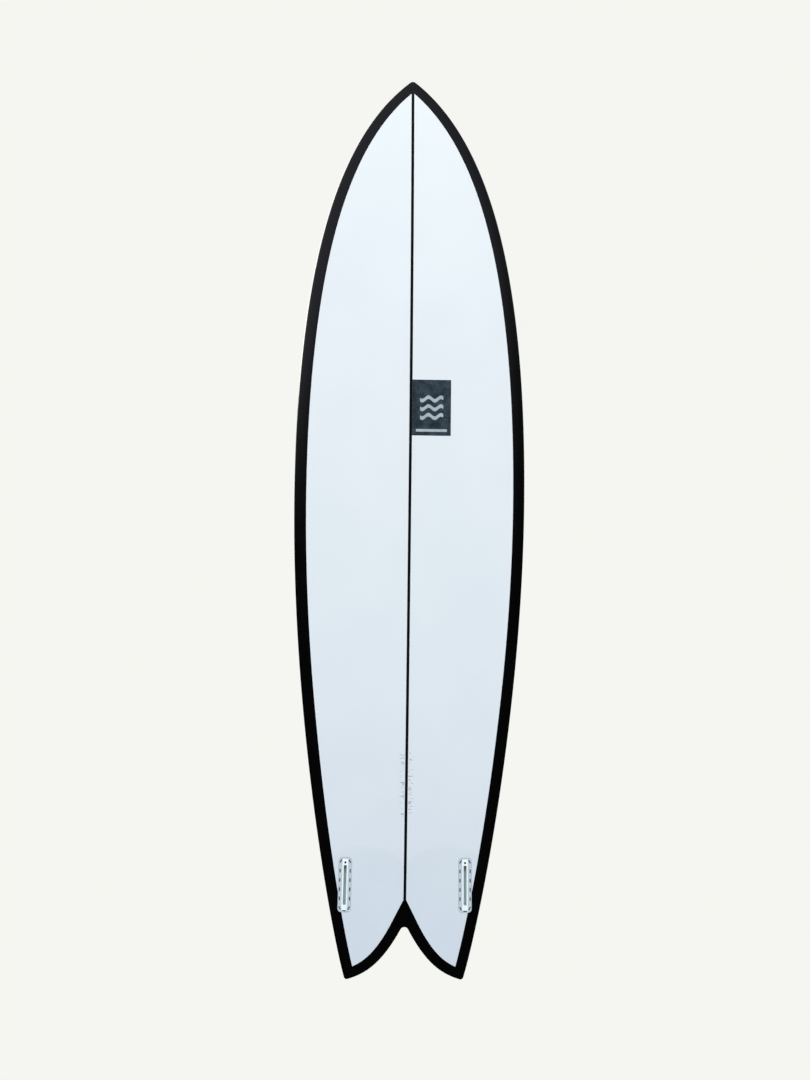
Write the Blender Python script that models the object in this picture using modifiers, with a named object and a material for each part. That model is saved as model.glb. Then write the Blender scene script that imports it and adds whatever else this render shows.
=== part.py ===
"""Swallow-tail surfboard with two fin boxes, standing on its tail tips.

The board stands upright: +Z runs to the nose, the bottom faces -Y and the deck faces +Y, and the
origin is on the centreline, level with the ends of the two tail tips. Metres throughout.

A board is shaped from foam on either side of a wooden stringer and then wrapped in skins, so every
skin and core here comes from one family of surfaces: a plan outline, a rocker line, a thickness
line and a rail section, each taken a little further inside the board for the next layer.
"""

import math

import bmesh
import bpy
import numpy as np
from mathutils import Matrix

# ---- overall size -------------------------------------------------------------------------------
LENGTH = 2.184
HALF_WIDTH = 0.276
THICKNESS = 0.070

# ---- plan outline, right-hand side (x to the side, z towards the nose) --------------------------
NOSE_CORNER = (0.0, LENGTH + 0.0027)
NOSE_HANDLE = (0.201, LENGTH - 0.152)
WIDE_POINT = 1.151
WIDE_HANDLE_UP = 0.509
WIDE_HANDLE_DOWN = 0.550
TIP_CORNER = (0.142, -0.0016)
TIP_HANDLE_OUTER = (0.164, 0.065)
TIP_HANDLE_NOTCH = (0.0873, 0.0133)
NOTCH_HANDLE = (0.0486, 0.0431)
NOTCH_CORNER = (0.0, 0.1399)
NOSE_ROUNDING = 0.010
TIP_ROUNDING = 0.007
CROTCH_ROUNDING = 0.010

# ---- profile and rail section -------------------------------------------------------------------
NOSE_ROCKER = 0.118
TAIL_ROCKER = 0.046
LOW_POINT = 0.45 * LENGTH
THICK_POINT = 1.120
NOSE_THICKNESS = 0.012
TAIL_THICKNESS = 0.018
DOME = 0.28  # share of the thickness that the deck has lost by the rail
DOME_MARGIN = 0.005
APEX_SHARE_NOSE = 0.42  # height of the rail's widest line, as a share of the rail's thickness
APEX_SHARE_TAIL = 0.22
HARD_RAIL_LENGTH = 0.70

# ---- black rail lap -----------------------------------------------------------------------------
BAND_BOTTOM = 0.0290
BAND_BOTTOM_NOSE = 0.0245
BAND_BOTTOM_TAIL = 0.0260
BAND_NOTCH_TIP = 0.0264
BAND_NOTCH_CROTCH = 0.0280
BAND_NARROWS_FORWARD_OF = 1.500
BAND_NARROWS_AFT_OF = 0.600
BAND_DECK_EXTRA = 0.0105  # how much wider the lap is on the deck

# ---- layers, as depths below the finished surface -----------------------------------------------
GAP = 0.0003
SKIN = 0.0012
PATCH_TOP = SKIN + GAP
PATCH_THICKNESS = 0.0003
CORE_BOTTOM = PATCH_TOP + PATCH_THICKNESS + GAP
CORE_DECK = SKIN + GAP
STRINGER_THICKNESS = 0.0064
STRINGER_COVER = 0.0018  # depth of the stringer's edge where the rail lap covers it
STRINGER_TIP = 0.004
CORE_LENGTHS = {"tail": (-0.1, 0.600), "middle": (0.600, 1.600), "nose": (1.600, 2.3)}

# ---- tail patches under the bottom skin ---------------------------------------------------------
PATCH_CENTRE = (0.100, 0.180)
PATCH_RADIUS = 0.145

# ---- fin boxes ----------------------------------------------------------------------------------
BOX_X = 0.1445
BOX_Z = 0.232
BOX_TOE = math.radians(1.0)
BOX_SINK = 0.00025
FLANGE_LENGTH = 0.135
FLANGE_WIDTH = 0.032
FLANGE_THICKNESS = 0.0025
FLANGE_CORNER = 0.010
BODY_LENGTH = 0.126
BODY_WIDTH = 0.0132
BODY_DEPTH = 0.020
BODY_CORNER = 0.004
SLOT_LENGTH = 0.097
SLOT_WIDTH = 0.0069
SLOT_DEPTH = 0.017
SLOT_CORNER = 0.002
SLOT_SHIFT = -0.001
KEY_HOLE_LENGTH = 0.0095
KEY_HOLE_WIDTH = 0.0027
KEY_HOLE_ROUNDING = 0.0008
KEY_HOLE_INSET = 0.0038
KEY_HOLE_PITCH = 0.0226
KEY_HOLE_CORNER_SHIFT = (0.0015, 0.0065)
KEY_HOLE_CORNER_TURN = 30.0
SCREW_Z = 0.0545
SCREW_TILT = math.radians(30.0)  # the screw leans back, so that its inner end meets the fin's tab
SCREW_BORE = 0.0050
SCREW_BORE_DEPTH = 0.0155
SCREW_DIAMETER = 0.0042
SCREW_LENGTH = 0.008
SCREW_RECESS = 0.0015

# ---- leash plug, on the deck --------------------------------------------------------------------
PLUG_X = 0.030
PLUG_Z = 0.262
PLUG_DIAMETER = 0.030
PLUG_RIM = 0.0015
PLUG_DEPTH = 0.020
PLUG_EDGE = 0.0004
PLUG_STEP = 0.0008  # the body below the rim is this much slimmer than the rim
CUP_DIAMETER = 0.022
CUP_DEPTH = 0.016
CUP_EDGE = 0.0006
CUP_FLOOR_EDGE = 0.002
BAR_DIAMETER = 0.0034
BAR_DEPTH = 0.0055
BAR_LENGTH = 0.027

# ---- label --------------------------------------------------------------------------------------
LABEL_WIDTH = 0.0925
LABEL_HEIGHT = 0.134
LABEL_Z = 1.377
LABEL_THICKNESS = 0.0009
LABEL_FROM_STRINGER = 0.0003

# ---- how finely the surfaces are stepped --------------------------------------------------------
CURVE_POINTS = 1201
STEPS_NOSE = 2
ROWS_MAIN = 24
ROWS_NOTCH = 10
ROWS_CROTCH = 3
STEPS_TIP = 3
STEPS_ACROSS = 4
STEPS_RAIL_BOTTOM = 4
STEPS_RAIL_DECK = 5
ROW_CROWDING = 1.6

CUTTER_RUN = 0.010  # how far a cutter runs past the surface it opens

BOARD = "surfboard"
CUTTERS = "cutters"


# ---- curves -------------------------------------------------------------------------------------
def bezier(start, start_handle, end_handle, end):
    t = np.linspace(0.0, 1.0, CURVE_POINTS)[:, None]
    s = 1.0 - t
    shares = (s**3, 3 * s * s * t, 3 * s * t * t, t**3)
    corners = (start, start_handle, end_handle, end)
    return sum(share * np.array(corner) for share, corner in zip(shares, corners))


def inward_normals(curve):
    """Unit normals pointing into the board, for a curve that runs with the board on its right."""
    tangent = np.gradient(curve, axis=0)
    tangent /= np.linalg.norm(tangent, axis=1)[:, None]
    return np.column_stack([tangent[:, 1], -tangent[:, 0]])


def inset(curve, distance):
    return curve + inward_normals(curve) * np.reshape(distance, (-1, 1))


def at_index(curve, index):
    steps = np.arange(len(curve))
    return np.column_stack([np.interp(index, steps, curve[:, axis]) for axis in (0, 1)])


def index_where_x(curve, x):
    """Fractional index at which a curve that moves steadily away from the centreline reaches x."""
    steps = np.arange(len(curve))
    order = np.argsort(curve[:, 0][: len(curve) // 3])
    return float(np.interp(x, curve[order, 0], steps[order]))


def index_where_z(curve, z):
    order = np.argsort(curve[:, 1])
    return float(np.interp(z, curve[order, 1], np.arange(len(curve))[order]))


def running_length(curve):
    steps = np.linalg.norm(np.diff(curve, axis=0), axis=1)
    return np.concatenate([[0.0], np.cumsum(steps)])


def resample(curve, shares):
    """Points at the given shares of a curve's length."""
    run = running_length(curve)
    wanted = np.asarray(shares) * run[-1]
    return np.column_stack([np.interp(wanted, run, curve[:, axis]) for axis in (0, 1)])


def piece_of(curve, first, last):
    """The part of a curve between two fractional indices."""
    whole = np.arange(math.floor(first) + 1, math.ceil(last))
    return np.vstack([at_index(curve, [first]), curve[whole], at_index(curve, [last])])


def meeting_point(rail, notch):
    """Where the inset rail line and the inset notch line cross, near the tail tip."""
    levels = np.linspace(notch[:, 1].min(), notch[:, 1].max(), 4001)
    rail_x = np.interp(levels, rail[::-1, 1], rail[::-1, 0])
    order = np.argsort(notch[:, 1])
    notch_x = np.interp(levels, notch[order, 1], notch[order, 0])
    inside = np.argmax(rail_x > notch_x)
    return np.array([rail_x[inside], levels[inside]])


def arc(centre, radius, start_direction, end_direction, count=25):
    start = math.atan2(start_direction[1], start_direction[0])
    end = math.atan2(end_direction[1], end_direction[0])
    if end - start > math.pi:
        end -= 2 * math.pi
    angles = np.linspace(start, end, count)
    return np.asarray(centre) + radius * np.column_stack([np.cos(angles), np.sin(angles)])


def sharp_outline():
    """The rail line from nose to tail tip, and the notch line from the tip to the centreline.

    The notch runs straight on past the centreline, so that a line inside it still reaches x = 0.
    """
    wide = (HALF_WIDTH, WIDE_POINT)
    upper = bezier(NOSE_CORNER, NOSE_HANDLE, (HALF_WIDTH, WIDE_POINT + WIDE_HANDLE_UP), wide)
    lower = bezier(wide, (HALF_WIDTH, WIDE_POINT - WIDE_HANDLE_DOWN), TIP_HANDLE_OUTER, TIP_CORNER)
    notch = bezier(TIP_CORNER, TIP_HANDLE_NOTCH, NOTCH_HANDLE, NOTCH_CORNER)
    onward = np.array(NOTCH_CORNER) - np.array(NOTCH_HANDLE)
    run_on = notch[-1] + np.linspace(0.0, 1.0, CURVE_POINTS // 4)[1:, None] * onward
    return np.vstack([upper, lower[1:]]), np.vstack([notch, run_on])


RAIL_LINE, NOTCH_LINE = sharp_outline()


def rounded_outline():
    """Nose arc, rail, tip arc, notch and crotch arc, end to end: the outline the board is cut to."""
    rail_normals = inward_normals(RAIL_LINE)
    notch_normals = inward_normals(NOTCH_LINE)

    nose_index = index_where_x(inset(RAIL_LINE, NOSE_ROUNDING), 0.0)
    nose_centre = at_index(inset(RAIL_LINE, NOSE_ROUNDING), [nose_index])[0]
    nose_arc = arc(nose_centre, NOSE_ROUNDING, (0.0, 1.0), -at_index(rail_normals, [nose_index])[0])

    tip_rail = inset(RAIL_LINE, TIP_ROUNDING)
    tip_notch = inset(NOTCH_LINE, TIP_ROUNDING)
    tip_centre = meeting_point(tip_rail, tip_notch)
    rail_end = index_where_z(tip_rail, tip_centre[1])
    notch_start = index_where_z(tip_notch, tip_centre[1])
    tip_arc = arc(
        tip_centre,
        TIP_ROUNDING,
        -at_index(rail_normals, [rail_end])[0],
        -at_index(notch_normals, [notch_start])[0],
    )

    air_side = inset(NOTCH_LINE, -CROTCH_ROUNDING)[::-1]
    crotch_index = len(air_side) - 1 - index_where_x(air_side, 0.0)
    crotch_centre = np.array([0.0, at_index(air_side[::-1], [crotch_index])[0, 1]])
    crotch_arc = arc(crotch_centre, CROTCH_ROUNDING, at_index(notch_normals, [crotch_index])[0], (0.0, 1.0))

    rail = piece_of(RAIL_LINE, nose_index, rail_end)
    notch = piece_of(NOTCH_LINE, notch_start, crotch_index)
    return nose_arc, rail, tip_arc, notch, crotch_arc


ROUNDED = rounded_outline()


# ---- heights ------------------------------------------------------------------------------------
def rocker(z):
    forward = np.clip((z - LOW_POINT) / (LENGTH - LOW_POINT), 0.0, None)
    aft = np.clip((LOW_POINT - z) / LOW_POINT, 0.0, None)
    return NOSE_ROCKER * forward**2.5 + TAIL_ROCKER * aft**2.2


def centre_thickness(z):
    forward = np.clip((z - THICK_POINT) / (LENGTH - THICK_POINT), 0.0, 1.0)
    aft = np.clip((THICK_POINT - z) / THICK_POINT, 0.0, 1.0)
    nose_side = (THICKNESS - NOSE_THICKNESS) * forward**2.2
    tail_side = (THICKNESS - TAIL_THICKNESS) * aft**1.9
    return THICKNESS - nose_side - tail_side


def half_width(z):
    return np.interp(z, RAIL_LINE[::-1, 1], RAIL_LINE[::-1, 0])


def thickness(x, z):
    reach = np.clip(np.abs(x) / (half_width(z) + DOME_MARGIN), 0.0, 1.0)
    return centre_thickness(z) * (1.0 - DOME * reach**2)


def apex_height(z):
    share = np.clip(z / HARD_RAIL_LENGTH, 0.0, 1.0)
    share = share * share * (3.0 - 2.0 * share)
    share = APEX_SHARE_TAIL + (APEX_SHARE_NOSE - APEX_SHARE_TAIL) * share
    return share * centre_thickness(z) * (1.0 - DOME)


def bottom_point(plan, depth, fullness=1.0):
    """A point `depth` inside the bottom; fullness runs from 0 at the rail's edge to 1 past its curve."""
    x, z = plan[..., 0], plan[..., 1]
    y = rocker(z) + depth + (apex_height(z) - depth) * (1.0 - fullness)
    return np.stack([x, y, z], axis=-1)


def deck_point(plan, depth, fullness=1.0):
    x, z = plan[..., 0], plan[..., 1]
    apex = apex_height(z)
    y = rocker(z) + apex + (thickness(x, z) - depth - apex) * fullness
    return np.stack([x, y, z], axis=-1)


# ---- plan grids ---------------------------------------------------------------------------------
def rail_band(z):
    """Width of the lap along the rails, on the bottom."""
    forward = np.clip((z - BAND_NARROWS_FORWARD_OF) / (LENGTH - BAND_NARROWS_FORWARD_OF), 0.0, 1.0)
    aft = np.clip(1.0 - z / BAND_NARROWS_AFT_OF, 0.0, 1.0)
    nose_loss = (BAND_BOTTOM - BAND_BOTTOM_NOSE) * forward**1.5
    tail_loss = (BAND_BOTTOM - BAND_BOTTOM_TAIL) * aft
    return BAND_BOTTOM - nose_loss - tail_loss


def notch_band(z):
    """Width of the lap along the notch, on the bottom."""
    share = np.clip(z / NOTCH_CORNER[1], 0.0, 1.0)
    return BAND_NOTCH_TIP + (BAND_NOTCH_CROTCH - BAND_NOTCH_TIP) * share**2


def lens_rows(extra, side_cut):
    """Matching points along the two edges of a skin panel, from its nose to its tail corner.

    The outer edge follows the rail, the lap's bottom width plus `extra` inside it. The inner edge
    follows the stringer at x = side_cut, then turns along the notch. Both have as many points.
    """
    rail = inset(RAIL_LINE, rail_band(RAIL_LINE[:, 1]) + extra)
    notch = inset(NOTCH_LINE, notch_band(NOTCH_LINE[:, 1]) + extra)
    corner = meeting_point(rail, notch)
    nose_z = at_index(rail, [index_where_x(rail, side_cut)])[0, 1]
    from_crotch = notch[::-1]
    fork_index = len(notch) - 1 - index_where_x(from_crotch, side_cut)
    fork_z = at_index(notch, [fork_index])[0, 1]

    shares = np.linspace(1.0, 0.0, ROWS_MAIN + 1)
    main_z = fork_z + (nose_z - fork_z) * (1.0 - (1.0 - shares) ** ROW_CROWDING)
    rows_tail = ROWS_NOTCH + ROWS_CROTCH
    tail_z = np.linspace(fork_z, corner[1], rows_tail + 1)[1:]
    rows_z = np.concatenate([main_z, tail_z])
    outer = np.column_stack([np.interp(rows_z, rail[::-1, 1], rail[::-1, 0]), rows_z])
    outer[0] = (side_cut, nose_z)
    outer[-1] = corner

    along_notch = piece_of(notch, index_where_z(notch, corner[1]), fork_index)[::-1]
    inner_tail = resample(along_notch, np.linspace(0.0, 1.0, rows_tail + 1))
    inner_tail[0] = (side_cut, fork_z)
    inner_tail[-1] = corner
    inner_main = np.column_stack([np.full(ROWS_MAIN, side_cut), main_z[:-1]])
    return outer, np.vstack([inner_main, inner_tail])


def rim_stations(depth, side_cut, guide):
    """Points round the outline, `depth` inside it, that pair with the band line's points."""
    whole = inset(np.vstack([ROUNDED[0]] + [part[1:] for part in ROUNDED[1:]]), depth)
    ends = np.cumsum([len(part) - 1 for part in ROUNDED])
    whole[0, 0] = whole[-1, 0] = 0.0
    start = index_where_x(whole, side_cut)
    stop = len(whole) - 1 - index_where_x(whole[::-1], side_cut)
    run = running_length(guide)
    parts = [
        resample(piece_of(whole, start, ends[0]), np.linspace(0, 1, STEPS_NOSE + 1)),
        resample(whole[ends[0] : ends[1] + 1], run / run[-1])[1:],
        resample(whole[ends[1] : ends[2] + 1], np.linspace(0, 1, STEPS_TIP + 1))[1:],
        resample(whole[ends[2] : ends[3] + 1], np.linspace(0, 1, ROWS_NOTCH + 1))[1:],
        resample(piece_of(whole, ends[3], stop), np.linspace(0, 1, ROWS_CROTCH + 1))[1:],
    ]
    stations = np.vstack(parts)
    stations[0, 0] = stations[-1, 0] = side_cut
    return stations


def band_stations(outer, inner):
    """The band line's points, one for each of the rim's: a corner serves all of the arc outside it."""
    nose = np.repeat(outer[:1], STEPS_NOSE, axis=0)
    corner = np.repeat(outer[-1:], STEPS_TIP, axis=0)
    notch = inner[ROWS_MAIN:-1][::-1]
    return np.vstack([nose, outer, corner, notch])


def rail_strip(depth, bottom_depth, deck_depth, side_cut):
    """The rail's surface as a grid, one row per station, from the bottom band line to the deck's."""
    bottom_edges = lens_rows(0.0, side_cut)
    deck_edges = lens_rows(BAND_DECK_EXTRA, side_cut)
    rim = rim_stations(depth, side_cut, bottom_edges[0])
    columns = []
    for step in range(STEPS_RAIL_BOTTOM, 0, -1):
        angle = 0.5 * math.pi * step / STEPS_RAIL_BOTTOM
        plan = rim + (1.0 - math.cos(angle)) * (band_stations(*bottom_edges) - rim)
        columns.append(bottom_point(plan, bottom_depth, math.sin(angle)))
    for step in range(STEPS_RAIL_DECK + 1):
        angle = 0.5 * math.pi * step / STEPS_RAIL_DECK
        plan = rim + (1.0 - math.cos(angle)) * (band_stations(*deck_edges) - rim)
        columns.append(deck_point(plan, deck_depth, math.sin(angle)))
    return np.stack(columns, axis=1)


def panel_grid(point, depth, extra, side_cut):
    """A skin panel's surface as a grid: one row per pair of edge points."""
    outer, inner = lens_rows(extra, side_cut)
    across = np.linspace(0.0, 1.0, STEPS_ACROSS + 1)[None, :, None]
    plan = inner[:, None, :] * (1.0 - across) + outer[:, None, :] * across
    return point(plan, depth)


# ---- meshes -------------------------------------------------------------------------------------
def add_grid(mesh, grid):
    """Adds a grid of points as quads and returns its vertices, row by row."""
    rows = [[mesh.verts.new(point) for point in row] for row in grid]
    for upper, lower in zip(rows, rows[1:]):
        for i in range(len(upper) - 1):
            mesh.faces.new((upper[i], upper[i + 1], lower[i + 1], lower[i]))
    return rows


def add_wall(mesh, first, second):
    """Joins two rows of vertices of the same length with quads."""
    for i in range(len(first) - 1):
        mesh.faces.new((first[i], first[i + 1], second[i + 1], second[i]))


def finish_mesh(mesh, name):
    bmesh.ops.remove_doubles(mesh, verts=mesh.verts, dist=1e-6)
    bmesh.ops.dissolve_degenerate(mesh, edges=mesh.edges, dist=1e-6)
    bmesh.ops.recalc_face_normals(mesh, faces=mesh.faces)
    data = bpy.data.meshes.new(name)
    mesh.to_mesh(data)
    mesh.free()
    return data


def sheet_mesh(name, outside, inside, open_ends=False):
    """A thin closed sheet between two grids. Its two end rows stay open when a Mirror will join them."""
    mesh = bmesh.new()
    top = add_grid(mesh, outside)
    bottom = add_grid(mesh, inside)
    add_wall(mesh, [row[0] for row in top], [row[0] for row in bottom])
    add_wall(mesh, [row[-1] for row in top], [row[-1] for row in bottom])
    if not open_ends:
        add_wall(mesh, top[0], bottom[0])
        add_wall(mesh, top[-1], bottom[-1])
    return finish_mesh(mesh, name)


def material(name, colour, roughness, metallic=0.0, coat=0.0):
    made = bpy.data.materials.new(name)
    made.use_nodes = True
    shader = made.node_tree.nodes["Principled BSDF"]
    shader.inputs["Base Color"].default_value = (*colour, 1.0)
    shader.inputs["Roughness"].default_value = roughness
    shader.inputs["Metallic"].default_value = metallic
    shader.inputs["Coat Weight"].default_value = coat
    return made


def place(name, data, collection, surface=None, parent=None, smooth=True):
    obj = bpy.data.objects.new(name, data)
    bpy.data.collections[collection].objects.link(obj)
    obj.parent = parent
    if surface:
        data.materials.append(surface)
    if smooth:
        data.shade_smooth()
        data.set_sharp_from_angle(angle=math.radians(35.0))
    if collection == CUTTERS:
        obj.hide_render = True
        obj.display_type = "WIRE"
    return obj


def boolean(obj, cutter, operation="DIFFERENCE"):
    modifier = obj.modifiers.new(cutter.name, "BOOLEAN")
    modifier.operation = operation
    modifier.object = cutter
    modifier.solver = "EXACT"


def mirrored(data, name):
    """A copy of a mesh on the other side of the centreline, still facing out."""
    copy = data.copy()
    copy.name = name
    copy.transform(Matrix.Scale(-1.0, 4, (1.0, 0.0, 0.0)))
    copy.flip_normals()
    return copy


def rounded_slab(name, length, width, corner, near, far, corner_steps=3):
    """A flat block with rounded corners: length along Z, width along X, from y = near to y = far."""
    mesh = bmesh.new()
    ring = []
    for quarter, (side, end) in enumerate(((1, 1), (-1, 1), (-1, -1), (1, -1))):
        centre_x = side * (width / 2 - corner)
        centre_z = end * (length / 2 - corner)
        for step in range(corner_steps + 1):
            angle = 0.5 * math.pi * (quarter + step / corner_steps)
            ring.append((centre_x + corner * math.cos(angle), centre_z + corner * math.sin(angle)))
    face = mesh.faces.new([mesh.verts.new((x, near, z)) for x, z in ring])
    extruded = bmesh.ops.extrude_face_region(mesh, geom=[face])
    moved = [item for item in extruded["geom"] if isinstance(item, bmesh.types.BMVert)]
    bmesh.ops.translate(mesh, verts=moved, vec=(0.0, far - near, 0.0))
    return finish_mesh(mesh, name)


def cylinder(name, diameter, low, high, segments=24):
    """A cylinder along Z from z = low to z = high."""
    mesh = bmesh.new()
    bmesh.ops.create_cone(
        mesh,
        cap_ends=True,
        segments=segments,
        radius1=diameter / 2,
        radius2=diameter / 2,
        depth=high - low,
        matrix=Matrix.Translation((0.0, 0.0, (low + high) / 2)),
    )
    return finish_mesh(mesh, name)


# ---- skins, cores and stringer ------------------------------------------------------------------
def make_skins(looks):
    side_cut = STRINGER_THICKNESS / 2 + GAP
    faces = {
        "bottom_skin": (0.0, bottom_point),
        "deck_skin": (BAND_DECK_EXTRA, deck_point),
    }
    for name, (extra, point) in faces.items():
        outside = panel_grid(point, 0.0, extra + GAP, side_cut)
        inside = panel_grid(point, SKIN, extra + GAP, side_cut)
        right = sheet_mesh(f"{name}_right", outside, inside)
        place(f"{name}_left", mirrored(right, f"{name}_left"), BOARD, looks["white"])
        place(f"{name}_right", right, BOARD, looks["white"])

    outside = rail_strip(0.0, 0.0, 0.0, 0.0)
    inside = rail_strip(SKIN, SKIN, SKIN, 0.0)
    ring = sheet_mesh("rail_lap", outside, inside, open_ends=True)
    lap = place("rail_lap", ring, BOARD, looks["black"])
    mirror = lap.modifiers.new("other side", "MIRROR")
    mirror.merge_threshold = 0.00001


def make_cores(looks):
    """Foam on either side of the stringer, each side in three lengths so that none is hollow-backed."""
    side_cut = STRINGER_THICKNESS / 2 + GAP
    mesh = bmesh.new()
    add_grid(mesh, rail_strip(CORE_DECK, CORE_BOTTOM, CORE_DECK, side_cut))
    add_grid(mesh, panel_grid(bottom_point, CORE_BOTTOM, 0.0, side_cut))
    add_grid(mesh, panel_grid(deck_point, CORE_DECK, BAND_DECK_EXTRA, side_cut))
    bmesh.ops.remove_doubles(mesh, verts=mesh.verts, dist=1e-6)
    rim = [edge for edge in mesh.edges if edge.is_boundary]
    bmesh.ops.edgeloop_fill(mesh, edges=rim)
    right = finish_mesh(mesh, "foam_right")
    left = mirrored(right, "foam_left")
    for part, (low, high) in CORE_LENGTHS.items():
        data = bmesh.new()
        bmesh.ops.create_cube(data, size=1.0)
        name = f"foam_length_{part}"
        cutter = place(name, finish_mesh(data, name), CUTTERS, smooth=False)
        cutter.scale = (1.0, 1.0, high - low - GAP)
        cutter.location = (0.0, 0.0, (low + high) / 2)
        for end, whole in (("left", left), ("right", right)):
            core = place(f"foam_{part}_{end}", whole.copy(), BOARD, looks["foam"])
            boolean(core, cutter, "INTERSECT")


def stringer_edge(extra, point):
    """One long edge of the stringer, from the tail to the nose, as (y, z) points.

    It is flush with the skins between the ends of the rail lap, and runs on under the lap there.
    """
    nose_end = lens_rows(extra, STRINGER_THICKNESS / 2 + GAP)[0][0, 1]
    inner = lens_rows(extra, 0.0)[1]
    fork = inner[ROWS_MAIN, 1]
    crotch = ROUNDED[-1][-1, 1] + STRINGER_COVER
    tip = LENGTH - STRINGER_TIP
    turn = np.linspace(0.0, 0.5 * math.pi, 5)
    reach = 1.0 - np.cos(turn)
    points = []
    for share, angle in zip(reach, turn):
        z = crotch + (fork + GAP - crotch) * share
        points.append((point(np.array([0.0, z]), STRINGER_COVER, math.sin(angle))[1], z))
    for z in [fork + GAP, *inner[1:ROWS_MAIN, 1][::-1], nose_end - GAP]:
        points.append((point(np.array([0.0, z]), 0.0)[1], z))
    for share, angle in zip(reach[::-1], turn[::-1]):
        z = tip - (tip - nose_end + GAP) * share
        points.append((point(np.array([0.0, z]), STRINGER_COVER, math.sin(angle))[1], z))
    return points


def make_stringer(looks):
    """A thin board on edge, its outline drawn in its own XY plane and stood up by its rotation."""
    bottom = stringer_edge(0.0, bottom_point)
    deck = stringer_edge(BAND_DECK_EXTRA, deck_point)
    outline = bottom + deck[::-1][1:-1]
    curve = bpy.data.curves.new("stringer", "CURVE")
    curve.dimensions = "2D"
    curve.fill_mode = "BOTH"
    curve.extrude = STRINGER_THICKNESS / 2
    spline = curve.splines.new("POLY")
    spline.points.add(len(outline) - 1)
    for point, (y, z) in zip(spline.points, outline):
        point.co = (y, z, 0.0, 1.0)
    spline.use_cyclic_u = True
    obj = place("stringer", curve, BOARD, looks["stringer"], smooth=False)
    obj.rotation_euler = (math.radians(90.0), 0.0, math.radians(90.0))


def make_tail_patches(looks):
    side_cut = STRINGER_THICKNESS / 2 + GAP
    outside = panel_grid(bottom_point, PATCH_TOP, GAP, side_cut)
    inside = panel_grid(bottom_point, PATCH_TOP + PATCH_THICKNESS, GAP, side_cut)
    right = sheet_mesh("tail_patch_right", outside, inside)
    sheets = {1: right, -1: mirrored(right, "tail_patch_left")}
    for side, end in ((-1, "left"), (1, "right")):
        patch = place(f"tail_patch_{end}", sheets[side], BOARD, looks["cloth"])
        disc = cylinder(f"patch_disc_{end}", 2 * PATCH_RADIUS, -0.2, 0.2, segments=96)
        cutter = place(f"patch_disc_{end}", disc, CUTTERS)
        cutter.location = (side * PATCH_CENTRE[0], 0.0, PATCH_CENTRE[1])
        cutter.rotation_euler = (math.radians(90.0), 0.0, 0.0)
        boolean(patch, cutter, "INTERSECT")


def make_label(looks):
    """A plain panel let into the right-hand bottom skin, with one long edge beside the stringer."""
    left = STRINGER_THICKNESS / 2 + LABEL_FROM_STRINGER
    levels = np.linspace(LABEL_Z - LABEL_HEIGHT / 2, LABEL_Z + LABEL_HEIGHT / 2, 5)
    plan = np.stack(np.meshgrid([left, left + LABEL_WIDTH], levels), axis=-1)
    data = sheet_mesh("bottom_label", bottom_point(plan, 0.0), bottom_point(plan, LABEL_THICKNESS))
    place("bottom_label", data, BOARD, looks["slate"])

    window = bmesh.new()
    bmesh.ops.create_cube(window, size=1.0)
    cutter = place("label_window", finish_mesh(window, "label_window"), CUTTERS, smooth=False)
    cutter.scale = (LABEL_WIDTH + 2 * GAP, 0.04, LABEL_HEIGHT + 2 * GAP)
    cutter.location = (left + LABEL_WIDTH / 2, 0.0, LABEL_Z)
    boolean(bpy.data.objects["bottom_skin_right"], cutter)


# ---- fin boxes ----------------------------------------------------------------------------------
def box_mount(side, name):
    """An empty on the bottom surface: Z along the box towards the nose, Y into the board."""
    step = 0.001
    slope = (rocker(BOX_Z + step) - rocker(BOX_Z - step)) / (2 * step)
    mount = bpy.data.objects.new(name, None)
    bpy.data.collections[BOARD].objects.link(mount)
    mount.rotation_mode = "ZYX"
    mount.rotation_euler = (-math.atan(slope), -side * BOX_TOE, 0.0)
    mount.location = (side * BOX_X, float(rocker(BOX_Z)) + BOX_SINK, BOX_Z)
    return mount


def joined_box(name, clearance, near, mount, collection, surface=None):
    """The box's outer form, flange and body in one, grown by a clearance all round."""
    flange = rounded_slab(
        name,
        FLANGE_LENGTH + 2 * clearance,
        FLANGE_WIDTH + 2 * clearance,
        FLANGE_CORNER + clearance,
        near,
        FLANGE_THICKNESS + clearance,
    )
    body = rounded_slab(
        f"{name}_body",
        BODY_LENGTH + 2 * clearance,
        BODY_WIDTH + 2 * clearance,
        BODY_CORNER + clearance,
        FLANGE_THICKNESS / 2,
        BODY_DEPTH + clearance,
    )
    obj = place(name, flange, collection, surface, parent=mount, smooth=False)
    boolean(obj, place(f"{name}_body", body, CUTTERS, parent=mount, smooth=False), "UNION")
    return obj


def key_holes():
    """Centres and turns of the small holes round the flange that the resin keys into."""
    side_x = FLANGE_WIDTH / 2 - KEY_HOLE_INSET
    end_z = FLANGE_LENGTH / 2 - KEY_HOLE_INSET
    corner_x = side_x - KEY_HOLE_CORNER_SHIFT[0]
    corner_z = end_z - KEY_HOLE_CORNER_SHIFT[1]
    holes = [(0.0, -end_z, 90.0)]
    for side in (-1, 1):
        for step in (-1.5, -0.5, 0.5, 1.5):
            holes.append((side * side_x, step * KEY_HOLE_PITCH, 0.0))
        for end in (-1, 1):
            holes.append((side * corner_x, end * corner_z, -side * end * KEY_HOLE_CORNER_TURN))
    return holes


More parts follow.
